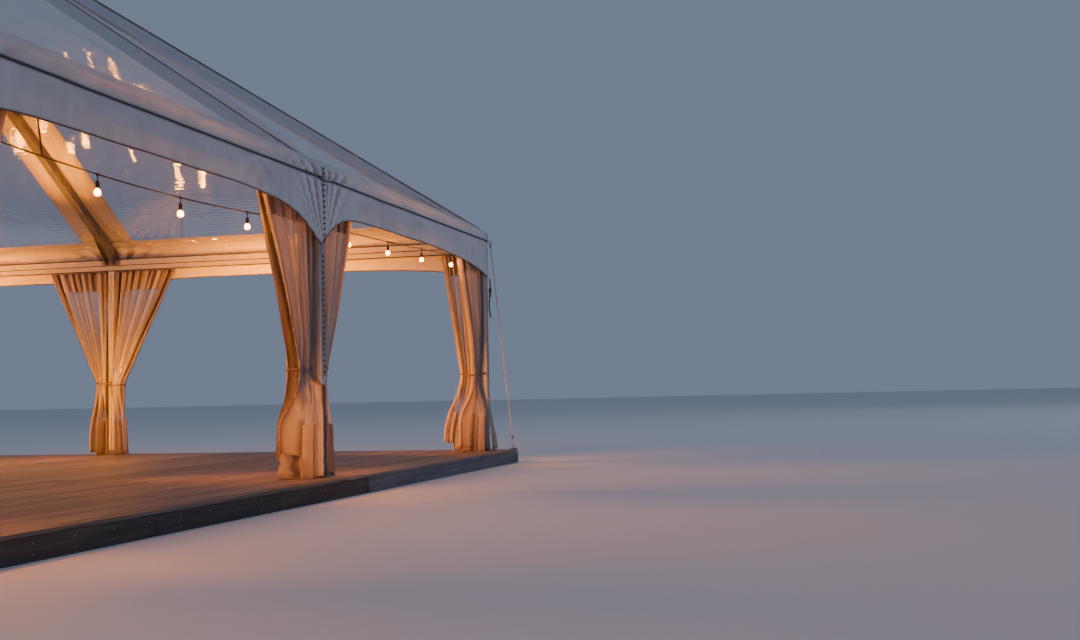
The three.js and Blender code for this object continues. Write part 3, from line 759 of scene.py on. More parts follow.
def groove(face, z, half=0.006, recess=0.01):
    """A groove in the right-hand face of an outline, at a height."""
    return [(face, z - half), (face - recess, z - half), (face - recess, z + half), (face, z + half)]


def both_halves(right, top=()):
    """An outline from its right half, which goes up from the bottom."""
    return np.array([*right, *top, *((-out, z) for out, z in reversed(right))])


def outward(mesh, change=None):
    """Turns all faces of a mesh outward, after a change to it."""
    bm = bmesh.new()
    bm.from_mesh(mesh)
    if change:
        change(bm)
    bmesh.ops.recalc_face_normals(bm, faces=bm.faces)
    bm.to_mesh(mesh)
    bm.free()


def prism(name, first, last, material):
    """A closed solid between two matching outlines of 3-D points."""
    count = len(first)
    faces = [(i, (i + 1) % count, count + (i + 1) % count, count + i) for i in range(count)]
    faces += [range(count), range(count, 2 * count)]
    made = add_mesh(name, np.vstack([first, last]), faces, [material])
    outward(made.data)
    return made


# %% Posts
POST_NAMES = {}
for tag, x in (("left", -1.5), ("mid_left", -0.5), ("mid_right", 0.5), ("right", 1.5)):
    for row, y in (("front", -1), ("back", 1)):
        POST_NAMES[f"{row}_{tag}"] = (x * BAY, y * HALF_WIDTH)
for tag, x in (("left", -1), ("right", 1)):
    POST_NAMES[f"end_{tag}"] = (x * HALF_LENGTH, 0.0)

ANGLE, ANGLE_WIDE, ANGLE_HIGH = 0.006, 0.07, 0.06
BASE_BOLT_OFF = 0.085
post_outline = grooved_outline(POST, POST)
base_top = DECK_TOP + GAP + PLATE_T
for name, (x, y) in POST_NAMES.items():
    ends = [np.column_stack([post_outline + (x, y), np.full(len(post_outline), z)])
            for z in (base_top, RAIL_Z - GAP)]
    declare(prism(f"upright_{name}", *ends, post_alloy), "frame_alloy", f"post_{name}")
    plates, sizes = [(x, y, base_top - PLATE_T / 2)], [(PLATE, PLATE, PLATE_T)]
    for dx, dy in ((1, 0), (-1, 0), (0, 1), (0, -1)):
        plates.append((x + dx * (POST + ANGLE) / 2, y + dy * (POST + ANGLE) / 2, base_top + ANGLE_HIGH / 2))
        sizes.append((ANGLE if dx else ANGLE_WIDE, ANGLE if dy else ANGLE_WIDE, ANGLE_HIGH))
    declare(copies_at(f"base_plate_{name}", plate_pattern, plates, steel, sizes=sizes), "frame_alloy")
    corners = [(x + sx * BASE_BOLT_OFF, y + sy * BASE_BOLT_OFF, base_top) for sx in (-1, 1) for sy in (-1, 1)]
    declare(copies_at(f"base_bolts_{name}", bolt, corners, steel, sizes=(0.75, 0.75, 0.75)), "frame_alloy")

# %% Eave beams with the curtain rail
# The beam's outline steps in to the narrower rail, whose slot underneath takes the curtain hooks. Three black
# rubber cords along its inner side, at the beam's top, its step and the foot of the rail, paint the shadow
# lines there, and plates are bolted on at the posts.
HALF, RAIL = POST / 2, RAIL_W / 2
STEP_Z = CORD_Z - BEAM_H
ROUND = 0.004
beam_section = both_halves([
    (0.009, RAIL_Z + 0.012), (0.009, RAIL_Z), (RAIL, RAIL_Z), *groove(RAIL, STEP_Z - 0.04), (RAIL, STEP_Z),
    (HALF - ROUND, STEP_Z), (HALF, STEP_Z + ROUND), *groove(HALF, STEP_Z + 0.045), (HALF, CORD_Z - ROUND),
    (HALF - ROUND, CORD_Z)])
outs, heights = beam_section.T
SHADOW_LINE_R = 0.0062
# Places of the black cords that paint the beam's shadow lines, as (out, height).
SHADOW_LINES = ((-HALF - 0.003, CORD_Z - 0.008), (-HALF + 0.004, STEP_Z - 0.002), (-RAIL - 0.003, RAIL_Z + 0.006))
CORNER_SHIFT = 0.16
for label, side in SIDES.items():
    ends = [on_side(side, sign * (side["run"] + outs - GAP), outs, heights) for sign in (-1, 1)]
    declare(prism(f"eave_rail_{label}", *ends, beam_alloy), "frame_alloy", f"eave_beam_{label}")
    run = np.linspace(-1, 1, 40) * (side["run"] - CORNER_SHIFT)
    shadow_lines = [cord_along("keder", on_side(side, run, out, z), SHADOW_LINE_R, black_rubber, 6) for out, z in SHADOW_LINES]
    declare(join(f"beam_keders_{label}", shadow_lines), "frame_alloy")
    places, sizes, bolts = [], [], []
    middle_z = STEP_Z + BEAM_H / 2
    for order, post in enumerate(side["posts"]):
        at_end = order in (0, len(side["posts"]) - 1)
        along = post * BAY - (math.copysign(CORNER_SHIFT, post) if at_end else 0)
        for out, depth in ((-HALF - 0.003, 0.006), (HALF + 0.001, 0.002)):
            places.append(on_side(side, along, out, middle_z))
            sizes.append((0.2 if at_end else 0.3, depth, BEAM_H - 0.016))
        for shift in (-0.07, 0.07) if at_end else (-0.11, -0.05, 0.05, 0.11):
            bolts.append(on_side(side, along + shift, -HALF - 0.006, middle_z))
    level, facing = (0, 0, side["turn"]), (-0.5 * math.pi, 0, side["turn"])
    declare(copies_at(f"splice_plates_{label}", plate_pattern, places, steel, level, sizes), "frame_alloy")
    declare(copies_at(f"splice_bolts_{label}", bolt, bolts, steel, facing, (0.7, 0.7, 0.7)), "frame_alloy")


# %% Rafters with their gussets
GUSSET = 0.0075


def rafter_piece(name, x, y, corner):
    """A rafter from its post to the hub, cut level on the beam, with a gusset on each face."""
    apex_x = math.copysign(HALF_RIDGE, x)
    run = math.hypot(apex_x - x, y)
    slope = RIDGE_RISE / run
    deep = RAFTER_D * math.hypot(1, slope)
    lower = SLOPE * RAFTER_W / 2 / math.sqrt(2) + GAP if corner else 0.0
    heading = math.atan2(-y, apex_x - x)
    cos, sin = math.cos(heading), math.sin(heading)

    def top(s):
        return EAVE_Z + slope * s - COVER_DROP - CLEAR_T - 2 * GAP - lower

    def place(s, across, z):
        s, across, z = np.broadcast_arrays(s, across, z)
        return np.stack([x + cos * s - sin * across, y + sin * s + cos * across, z], axis=-1)

    def cut_level(bm):
        cut = bmesh.ops.bisect_plane(bm, geom=bm.verts[:] + bm.edges[:] + bm.faces[:], clear_inner=True,
                                     plane_co=(0, 0, CORD_Z + GAP), plane_no=(0, 0, 1))["geom_cut"]
        rim = [e for e in cut if isinstance(e, bmesh.types.BMEdge)]
        if rim:
            bmesh.ops.holes_fill(bm, edges=rim, sides=0)

    across, up = grooved_outline(RAFTER_W, deep, 0.005).T
    foot = -0.005 if corner else -0.04
    ends = [place(s, across, top(s) - deep / 2 + up) for s in (foot, run - HUB_APOTHEM - GAP)]
    shaft = prism(f"{name}_section", *ends, shaded_rafter_alloy)
    outward(shaft.data, cut_level)
    declare(shaft, "frame_alloy", name)

    start = 0.08 if corner else 0.053
    outline = [(start, CORD_Z - 0.085), (start + 0.05, CORD_Z - 0.085), (0.42, top(0.42) - deep + 0.01),
               (0.45, top(0.45) - 0.03), (start, top(start) - 0.03)]
    s, z = np.array(outline).T
    places, turns, gussets = [], [], []
    for sign in (-1, 1):
        faces = [place(s, sign * (RAFTER_W / 2 + reach), z) for reach in (0.0002, GUSSET)]
        gussets.append(prism("gusset", *faces, steel))
        for at, below in ((0.13, 0.05), (0.25, 0.06), (0.38, 0.06), (0.1, 0.13)):
            places.append(place(at, sign * (RAFTER_W / 2 + GUSSET), top(at) - below))
            turns.append((-sign * 0.5 * math.pi, 0, heading))
    declare(join(f"{name}_gussets", gussets), "frame_alloy")
    declare(copies_at(f"{name}_gusset_bolts", bolt, places, steel, turns, (0.8, 0.8, 0.8)), "frame_alloy")


for tag, (x, y) in POST_NAMES.items():
    at_corner = abs(x) == HALF_LENGTH and y != 0
    rafter_piece(f"{'hip_rafter' if at_corner else 'rafter'}_{tag}", x, y, at_corner)

# %% Ridge beam and hubs
PEAK = EAVE_Z + RIDGE_RISE - COVER_DROP - CLEAR_T - 3 * GAP
half = RAFTER_W / 2
shoulder = PEAK - SLOPE * half
low = shoulder - RAFTER_D
ridge_section = both_halves([(0.006, low + 0.01), (0.006, low), (half, low), *groove(half, shoulder - 0.06),
                             (half, shoulder)], [(0, PEAK)])
reach = HALF_RIDGE - HUB_APOTHEM
ends = [np.column_stack([np.full(len(ridge_section), sign * reach), ridge_section]) for sign in (-1, 1)]
HUB_TOP = PEAK - SLOPE * HUB_APOTHEM
hub_r = HUB_APOTHEM / math.cos(math.pi / 8)
drum_profile = [
    (0, -HUB_H), (0.05, -HUB_H), (hub_r - 0.012, -HUB_H), (hub_r, -HUB_H + 0.006), (hub_r, -HUB_H + 0.018),
    (hub_r - 0.006, -HUB_H + 0.022), (hub_r - 0.006, -0.022), (hub_r, -0.018), (hub_r, -0.004),
    (hub_r - 0.01, 0.0), (0.04, 0.0), (0.03, 0.02), (0, 0.02)]
BOLT_RING = 0.128
hubs, hub_bolts, hub_turns = [prism("ridge_section", *ends, beam_alloy)], [], []
for sign in (-1, 1):
    drum = turned_shape(f"hub_{sign}", drum_profile, 8, False)
    patterns.remove(drum)
    seat = Matrix.Translation((sign * HALF_RIDGE, 0, HUB_TOP))
    drum.data.transform(seat @ Matrix.Rotation(math.pi / 8, 4, "Z"))
    drum.data.materials.append(steel)
    hubs.append(drum)
    for angle in np.arange(8) * math.pi / 4:
        spin = Matrix.Rotation(angle, 4, "Z")
        for z in (-0.05, -0.13):
            for off in (-0.035, 0.035):
                hub_bolts.append(seat @ spin @ Vector((BOLT_RING, off, z)))
                hub_turns.append((0, 0.5 * math.pi, angle))
declare(join("ridge_and_hubs", hubs), "frame_alloy", "ridge_beam")
declare(copies_at("hub_bolts", bolt, hub_bolts, steel, turns=hub_turns, sizes=(0.5, 0.5, 0.5)), "frame_alloy")

# %% [markdown]
# ## Sheets
# Every sheet of the marquee is a grid of points with a second skin behind it and a rim round it, so that it is
# a closed body of the sheet's thickness. The grid also gives each point its place on the flat cloth, in metres.

# %% A closed sheet from a grid


def sheet_parts(grid, thickness):
    """Points and faces of a closed sheet round a grid of rows and columns of points."""
    rows, cols = grid.shape[:2]
    normal = np.cross(np.gradient(grid, axis=1), np.gradient(grid, axis=0))
    normal /= np.maximum(np.linalg.norm(normal, axis=-1, keepdims=True), 1e-9)
    points = np.concatenate([(grid + normal * thickness / 2).reshape(-1, 3),
                             (grid - normal * thickness / 2).reshape(-1, 3)])
    at = np.arange(rows * cols).reshape(rows, cols)
    quads = np.stack([at[:-1, :-1], at[:-1, 1:], at[1:, 1:], at[1:, :-1]], axis=-1).reshape(-1, 4)
    edge = np.concatenate([at[0, :], at[1:, -1], at[-1, -2::-1], at[-2:0:-1, 0]])
    after = np.roll(edge, -1)
    rim = np.stack([after, edge, edge + rows * cols, after + rows * cols], axis=-1)
    return points, np.concatenate([quads, quads[:, ::-1] + rows * cols, rim]), len(rim)


def add_sheet(name, grids, flats, thickness, materials, zones=0, creases=None):
    """One object from several grids; flats are their places on the flat cloth, zones their cells' materials.

    Creases say how deep in a fold each point of the first grid lies; the finishes paint shade from them in
    the hollows and a highlight on the ridges.
    """
    points, faces, uv, slots, smooth = [], [], [], [], []
    start = 0
    for grid, flat in zip(grids, flats):
        part, quads, rim = sheet_parts(grid, thickness)
        points.append(part)
        faces.append(quads + start)
        uv += [flat.reshape(-1, 2)] * 2
        cells = np.broadcast_to(zones, (grid.shape[0] - 1, grid.shape[1] - 1)).ravel()
        slots += [cells, cells, np.full(rim, cells[0])]
        smooth += [np.ones(len(quads) - rim, bool), np.zeros(rim, bool)]
        start += len(part)
    sheet = add_mesh(name, np.vstack(points), np.vstack(faces), materials, np.concatenate(slots), np.vstack(uv),
                     np.concatenate(smooth))
    if creases is not None:
        depth = np.zeros(start, np.float32)
        depth[:2 * creases.size] = np.tile(np.clip(creases, -1, 1).ravel(), 2)
        sheet.data.attributes.new("fold_shade", "FLOAT", "POINT").data.foreach_set("value", depth)
    return sheet


def lengths(grid, axis):
    """Lengths of a grid's steps along its rows' columns (1) or its columns' rows (0)."""
    return np.linalg.norm(np.diff(grid, axis=axis), axis=2)


def flat_of(grid):
    """Places on the flat cloth, measured along the grid's middle row and column."""
    u = np.concatenate([[0], np.cumsum(lengths(grid, 1)[len(grid) // 2])])
    v = np.concatenate([[0], np.cumsum(lengths(grid, 0)[:, grid.shape[1] // 2])])
    return np.stack(np.meshgrid(u, v), axis=-1)


def area_of(grid):
    """Area of one face of a grid."""
    one = np.cross(grid[:-1, 1:] - grid[:-1, :-1], grid[1:, :-1] - grid[:-1, :-1])
    two = np.cross(grid[1:, :-1] - grid[1:, 1:], grid[:-1, 1:] - grid[1:, 1:])
    return float((np.linalg.norm(one, axis=-1) + np.linalg.norm(two, axis=-1)).sum() / 2)


def smooth_noise(seed, *axes):
    """A sum of a few turned waves with random phases: smooth, repeatable, about -1 to 1."""
    draw = np.random.default_rng(seed)
    total = 0.0
    for k in range(7):
        angle = draw.random() * math.pi
        wave = 2 ** (k * 0.45)
        phase = draw.random() * 2 * math.pi
        run = sum(a * b for a, b in zip(axes, (math.cos(angle), math.sin(angle))))
        total = total + np.sin(run * wave + phase) / wave ** 0.8
    return total / 2.2


def declare_sheet(piece, slot, nodes, area=None):
    declare(piece, slot, *nodes)


def unit(low, high, value):
    """How far a value has gone from low to high, from 0 to 1."""
    return np.clip((value - low) / (high - low), 0, 1)


# %% [markdown]
# ## Clear roof
# One clear sheet to a slope, laid over the rafters. Vinyl of this weight sags a few centimetres between its
# supports and keeps the creases of its folding, so each point sinks by its distance to the nearest support.

# %% Clear sheets
ROOF_SHEET_T = 0.0022
SAG, SAG_REACH, RIPPLE = 0.055, 0.8, 0.006
FLAT_ON_SUPPORT = 0.07
slope_share = math.hypot(1, SLOPE)


def carried(side, along, out):
    """Distance in plan from the nearest rafter, hip, eave or ridge."""
    near = np.minimum(np.abs(out), np.abs(side["run"] + out - np.abs(along)) / math.sqrt(2))
    for joint in (-HALF_RIDGE, HALF_RIDGE) if is_long(side) else (0.0,):
        near = np.minimum(near, np.abs(along - joint))
    if is_long(side):
        near = np.minimum(near, np.abs(HALF_WIDTH + out))
    return np.maximum(near - FLAT_ON_SUPPORT, 0.0)


for number, (label, side) in enumerate(SIDES.items()):
    rows, cols, short_of_ridge = (46, 96, 0.002) if is_long(side) else (46, 64, 0.03)
    out = np.linspace(-0.02, -HALF_WIDTH + short_of_ridge, rows)[:, None]
    along = np.linspace(-1, 1, cols)[None, :] * (side["run"] + out - 0.004)
    gap = carried(side, along, out)
    sag = SAG * (1 - np.exp(-(gap / SAG_REACH) ** 1.5))
    ripple = RIPPLE * smooth_noise(20 + number, along * 2.1, out * 3.3) * (1 - np.exp(-gap / 0.15))
    grid = on_side(side, along, out, roof_z(out) - COVER_DROP - GAP - CLEAR_T / 2 - sag + ripple)
    flat = np.stack(np.broadcast_arrays(along + side["run"], -out * slope_share), axis=-1)
    piece = add_sheet(f"clear_sheet_{label}", [grid], [flat], ROOF_SHEET_T, [roof_vinyl])
    declare_sheet(piece, "clear_vinyl", [f"clear_roof_{label}"],
                  area_of(grid))

# %% [markdown]
# ## White borders
# The borders cover the joints of the clear sheets: along the eave, where they roll over a shoulder and hang to
# the seam cord, up the hips, over the rafters, where two sections of the roof are laced, and along the ridge.
# Over each post the hanging part is drawn together, so it puckers there.

# %% Folds of the borders and the valance


def along_places(side, reach, fine=0.013, coarse=0.09, near=0.42):
    """Places along a side, closer together near the posts."""
    places = [-reach]
    while places[-1] < reach:
        gap = min(abs(places[-1] - post * BAY) for post in side["posts"])
        places.append(places[-1] + (fine if gap < near else coarse))
    return np.array([*places[:-2], reach])


def to_posts(side, along):
    """Signed distance from the nearest post of a side, and whether it is a corner post."""
    posts = np.array(side["posts"]) * BAY
    gaps = along[..., None] - posts
    nearest = np.argmin(np.abs(gaps), axis=-1)
    signed = np.take_along_axis(gaps, nearest[..., None], axis=-1)[..., 0]
    return signed, (nearest == 0) | (nearest == len(posts) - 1)


def puckers(side, along, above_tip, seed):
    """Gathers that fan up from the valance's tip over a post, from -1 to 1, and how strong they are there."""
    signed, corner = to_posts(side, along)
    turn = np.arctan2(signed, above_tip)
    spread = np.where(corner, 0.2, 0.6)
    strength = np.exp(-((np.abs(turn) / spread) ** 2.6)) * np.where(corner, 0.4, 1.0)
    phase = np.random.default_rng(seed).random() * 6
    wave = 0.85 * np.cos(29 * turn + 0.8 * np.sin(7 * turn + phase) + phase)
    return wave + 0.25 * np.cos(61 * turn + 2 * phase), strength


def pinches(along, drop, seed):
    """Short diagonal creases where the cover is tied to the beam, about every 1.4 m, from about -1 to 1."""
    pitch = BAY / 4
    away = (along / pitch + 0.5) % 1.0 - 0.5
    turn = np.arctan2(drop - 0.02, away * pitch + 0.001)
    fade = np.exp(-(np.hypot(away * pitch, drop) / 0.3) ** 2)
    number = np.round(along / pitch)
    return np.sin(7 * turn + number * 1.7 + seed) * fade * (0.5 + 0.5 * np.sin(number * 2.3 + seed))


def pulls(side, along, drop, seed):
    """Wrinkles that run out sideways from where the cloth is drawn together, from about -1 to 1."""
    signed, corner = to_posts(side, along)
    away = np.abs(signed)
    turn = np.arctan2(drop + 0.04, away + 0.06)
    wave = np.sin(26 * turn + 2.0 * smooth_noise(seed, signed * 3.0, drop * 2) + seed)
    return wave * unit(0, 0.18, away) * np.exp(-(away / np.where(corner, 0.4, 1.0)) ** 1.5)


def painted_fold_shade(wave, strength):
    """How deep in a fold a place lies, as painted shade: -1 for a painted highlight on the ridges, 1 for shade
    in the hollows.
    """
    return np.clip(0.1 - 1.05 * wave, -1, 1) * np.clip(1.6 * strength, 0, 1)


# %% Profile of the eave border
# From the slope over the shoulder, an arc, and down to the seam cord, as (out, height).
EAVE_STRIP, HIP_STRIP, RAFTER_STRIP, END_RAFTER_STRIP, RIDGE_STRIP = 0.13, 0.06, 0.07, 0.4, 0.2
SKIN = 0.0016
TIP_BELOW = 0.66
fall = math.atan(SLOPE)
arc_drop = SHOULDER_R * math.tan((math.pi / 2 - fall) / 2)
arc_centre = np.array([SKIRT_OUT - SHOULDER_R, roof_z(SKIRT_OUT) - arc_drop])
angles = np.linspace(math.pi / 2 - fall, 0, 7)
arc = arc_centre + (SHOULDER_R - SKIN) * np.column_stack([np.cos(angles), np.sin(angles)])
upper = [(out, roof_z(out) - SKIN) for out in np.linspace(-EAVE_STRIP, arc[0][0] - 0.01, 5)]
lower = [(SKIRT_OUT - SKIN, z) for z in np.linspace(arc[-1][1], CORD_Z + CORD_R + GAP, 6)[1:]]
profile_out, profile_z = np.vstack([upper, arc, lower]).T[..., None]


def eave_grid(side, seed):
    reach = side["run"]
    along = along_places(side, reach)[None, :] + 0 * profile_out
    share = np.linspace(0, 1, len(profile_out))[:, None]
    hang = unit(0.12, 1, share)
    wave, strength = puckers(side, along, TIP_BELOW * (1 + 3 * np.clip(profile_z - CORD_Z, 0, 1)), seed + 60)
    lift = 0.03 * wave * strength * hang ** 0.8
    lift = lift + 0.006 * pulls(side, along, CORD_Z + 0.3 - profile_z, seed) * hang
    lift = lift + 0.007 * pinches(along, profile_z - CORD_Z, seed) * hang
    lift = lift + 0.005 * smooth_noise(seed, along * 3.0, profile_z * 9) * hang
    lift = lift * np.where(lift < 0, 0.3, 1.0)
    roll = 0.008 * smooth_noise(seed + 7, along * 2.2, 0 * along) * np.clip(1 - 4 * share, 0, 1)
    level = unit(0.25, 0.55, share)
    out = profile_out + roll + lift * level
    z = profile_z + np.clip(lift * (1 - level) * 0.6, -0.001, 0.012)
    stretch = (reach + profile_out - 0.001) / reach
    return on_side(side, along * stretch, out, z), painted_fold_shade(wave, strength) * hang ** 0.5


def strip_grid(side, first, last, half_from, half_to, steps, seed):
    """A flat strip on a slope between two (along, out) points, from one half width to the other across it."""
    first, way = np.array(first), np.subtract(last, first)
    normal = np.array([-way[1], way[0]]) / np.linalg.norm(way)
    t = np.linspace(0, 1, steps)[:, None]
    w = np.linspace(half_from, half_to, 7)[None, :]
    along, out = (first[axis] + way[axis] * t + normal[axis] * w for axis in (0, 1))
    return on_side(side, along, out, roof_z(out) - SKIN + 0.0015 * smooth_noise(seed, along * 6, out * 6))


# %% White borders
for number, (label, side) in enumerate(SIDES.items()):
    eave, creases = eave_grid(side, 40 + number)
    grids = [eave]
    top = -HALF_WIDTH + 0.13
    for sign, inner, outer in ((-1, 0.0, HIP_STRIP), (1, HIP_STRIP, 0.0)):
        ends = [(sign * (side["run"] - level), -level) for level in (EAVE_STRIP, -top)]
        grids.append(strip_grid(side, *ends, inner, outer, 60, 60 + number))
    joints, strip, ridge_out = (0.0,), END_RAFTER_STRIP, -HALF_WIDTH + END_RAFTER_STRIP
    if is_long(side):
        joints, strip, ridge_out = (-HALF_RIDGE, HALF_RIDGE), RAFTER_STRIP, -HALF_WIDTH + 0.002
        half = RIDGE_STRIP / 2
        ends = [(joint, ridge_out + half) for joint in joints]
        grids.append(strip_grid(side, *ends, -half, half, 40, 70))
    for joint in joints:
        ends = ((joint, -EAVE_STRIP), (joint, ridge_out))
        grids.append(strip_grid(side, *ends, -strip, strip, 60, 80 + number))
    area = sum(area_of(grid) for grid in grids)
    flats = [flat_of(grid) for grid in grids]
    piece = add_sheet(f"white_border_{label}", grids, flats, 2 * SKIN, [cover_fabric], creases=creases)
    declare_sheet(piece, "white_vinyl", [f"roof_border_{label}"],
                  area)

# %% Cords of the roof
# A dark edge cord runs along the seam between border and valance, and a thin one up each hip.
SEAM_CORD_R, HIP_CORD_R = 0.0075, 0.0055
for number, (label, side) in enumerate(SIDES.items()):
    along = along_places(side, side["run"], 0.02, 0.2)
    wave, strength = puckers(side, along, TIP_BELOW, 100 + number)
    signed, corner = to_posts(side, along)
    dip = np.where(corner, 0.004, 0.022) * np.exp(-(np.abs(signed) / 0.09) ** 1.3)
    droop = CORD_Z - dip + 0.002 * smooth_noise(9, along * 4, along * 0)
    out = SKIRT_OUT + 0.002 + 0.007 * wave * strength
    seam = on_side(side, along * (side["run"] + SKIRT_OUT) / side["run"], out, droop)
    declare(cord_along(f"seam_cord_{label}", seam, SEAM_CORD_R, seam_rubber, 8), "white_vinyl")
    outs = np.linspace(-0.02, -HALF_WIDTH + 0.14, 24)
    hip = on_side(side, side["run"] + outs, outs, roof_z(outs) + 0.002)
    declare(cord_along(f"hip_cord_{label}", hip, HIP_CORD_R, hip_keder, 8), "white_vinyl")

# %% [markdown]
# ## Valance
# The valance hangs from the seam cord. Its hem is level over most of a bay and falls to each post on a curve
# that grows steeper, so it ends in a tip there, where it is gathered. A corded hem finishes the edge.

# %% Hem of the valance
VALANCE_T, HEM_R = 0.0022, 0.006
# Each kind of post: depth of its tip, how far the tip leans along, and the fall's length on either side
HEM_MIDDLE = {"deep": 0.62, "lean": -0.05, "left": 0.47, "right": 0.34, "power": 1.25}
HEM_END = {"deep": 0.61, "lean": 0.0, "left": 0.36, "right": 0.36, "power": 1.25}
HEM_CORNER = {"deep": 0.476, "lean": 0.0, "left": 0.8, "right": 0.8, "power": 1.0}


def hem_z(side, along):
    """Height of the hem: level, with a fall to the tip at each post that dies away with the distance."""
    drop = VALANCE_SHALLOW
    for order, post in enumerate(side["posts"]):
        kind = HEM_MIDDLE if is_long(side) else HEM_END
        kind = HEM_CORNER if order in (0, len(side["posts"]) - 1) else kind
        away = along - post * BAY - kind["lean"]
        length = np.where(away < 0, kind["left"], kind["right"])
        drop = drop + (kind["deep"] - VALANCE_SHALLOW) * np.exp(-((np.abs(away) / length) ** kind["power"]))
    return CORD_Z - drop


def valance_grid(side, seed):
    reach = side["run"] + SKIRT_OUT - 0.003
    base = along_places(side, reach, 0.012, 0.075, 0.5)
    v = np.linspace(0, 1, 13)[:, None]
    along = base[None, :] + 0 * v
    top = CORD_Z - 0.003
    z = top + (hem_z(side, along) - top) * v
    above_tip = np.maximum(z - CORD_Z + TIP_BELOW, 0.12)
    wave, strength = puckers(side, along, above_tip, seed)
    pinch = pinches(along, CORD_Z - z, seed) * (1 - strength)
    lift = 0.034 * wave * strength * (above_tip / TIP_BELOW) ** 0.6
    lift = lift + 0.009 * pulls(side, along, CORD_Z - z, seed) * (1 - 0.6 * strength)
    lift = lift + 0.011 * pinch + (0.004 + 0.009 * v) * smooth_noise(seed + 3, along * 2.6, z * 2.2)
    lift = lift + 0.01 * v * np.cos(along * 2.2 + seed)
    still = unit(0, 0.05, reach - np.abs(along))
    out = SKIRT_OUT - 0.0025 + np.maximum(lift, -0.005) * np.clip(v * 5, 0, 1) * still
    # The folds' painted shade and highlight, with painted shade and highlight along the creases of each pinch.
    creases = painted_fold_shade(wave, strength) * np.clip(v * 8, 0, 1) - 0.3 * pinch
    return on_side(side, along, out, z), along, creases


for number, (label, side) in enumerate(SIDES.items()):
    grid, along, creases = valance_grid(side, 100 + number)
    flat = np.stack([along + side["run"], CORD_Z - grid[..., 2]], axis=-1)
    piece = add_sheet(f"valance_cloth_{label}", [grid], [flat], VALANCE_T, [valance_fabric], creases=creases)
    declare_sheet(piece, "white_vinyl", [f"valance_{label}"],
                  area_of(grid))
    declare(cord_along(f"valance_hem_{label}", grid[-1], HEM_R, hem_binding, 6), "white_vinyl")

# %% Lacing over the posts
# Small black loops close the cover and the valance over each middle post, and go on down the strip on the post.
LOOP_PITCH = 0.052
loop_profile = [(0, -0.009), (0.007, -0.008), (0.0105, 0), (0.007, 0.008), (0, 0.009)]
loop_pattern = turned_shape("lace_loop", loop_profile, 8)
for label, side in SIDES.items():
    loops = [on_side(side, post * BAY, SKIRT_OUT + 0.011, z) for post in side["posts"][1:-1]
             for z in np.arange(CORD_Z - VALANCE_DEEP + 0.02, CORD_Z + 0.1, LOOP_PITCH)]
    declare(copies_at(f"valance_lacing_{label}", loop_pattern, loops, black_rubber), "white_vinyl")

# %% [markdown]
# ## Side curtains
# Each bay has a pair of curtains on the rail, drawn back to the posts. A panel is 2.7 m of clear vinyl with
# white fabric borders, hangs in eight pleats, is tied at a metre, and its hem slumps on the deck.
# A pleated sheet keeps its length: in every row the depth of the pleats is solved so that the row is as long as
# the flat panel is wide. That makes the folds deep where the panel is tied and shallow where it is spread.

# %% Sizes of the drawn curtains
PANEL_WIDE, PANEL_TALL = 2.7, 2.72
HANG = RAIL_Z - DECK_TOP - 0.012
# Distance of the leading edge from the post at the head, the tie and the foot, reach inside, how far the hem's
# corner is caught up, and whether the first pleat passes in front of the post
LONG_ARM = {"top": 1.2, "tie": 0.33, "foot": 0.43, "inside": 0.3, "caught": 0.2, "wrap": 1}
SHORT_ARM = {"top": 0.88, "tie": 0.2, "foot": 0.23, "inside": 0.17, "caught": 0.0, "wrap": 0}
CORNER_LONG_ARM = {"top": 0.98, "tie": 0.23, "foot": 0.42, "inside": 0.26, "caught": 0.05, "wrap": 0}
CORNER_SHORT_ARM = {"top": 0.56, "tie": 0.3, "foot": 0.52, "inside": 0.2, "caught": 0.12, "wrap": 0}
END_ARM = {"top": 0.98, "tie": 0.18, "foot": 0.26, "inside": 0.2, "caught": 0.04, "wrap": 0}
LEAD_BORDER, POST_BORDER, HEAD_BORDER, FOOT_BORDER = 0.33, 0.36, 0.28, 0.5
PLEATS, COLUMNS, ROWS = 8, 88, 60
TIE_HIGH, TIE_T, TIE_BULGE, TIE_WOBBLE = 0.018, 0.002, 0.004, 0.007
CURTAIN_T = 0.0018
HOOK_PITCH, KNOT_PITCH = 0.105, 0.16
# The share of the panel's width that the pleats have to take up, and the deepest that they may be for it
TAKEN_UP, DEEPEST = 0.97, 0.16


def ease(value):
    """A smooth step from 0 to 1."""
    value = np.clip(value, 0, 1)
    return value * value * (3 - 2 * value)


# %% One drawn curtain


def leading_edge(arm, heights):
    """How far the leading edge stands from the post at each height: narrow at the tie, a skirt under it."""
    keys = np.array([0.0, 0.2, 0.45, 0.7, 0.93, 1.0, 1.08, 1.3, 1.7, 2.15, HANG])
    span, below = arm["top"] - arm["tie"], arm["foot"] - arm["tie"]
    skirt = below * np.array([1, 0.97, 0.72, 0.3, 0.02])
    spread = span * np.array([0.045, 0.18, 0.43, 0.73, 1])
    edge = np.interp(heights[:, 0], keys, arm["tie"] + np.array([*skirt, -0.01, *spread]))
    kernel = np.array([1, 2, 3, 2, 1]) / 9
    return np.convolve(np.pad(edge, 2, mode="edge"), kernel, mode="valid")[:, None]


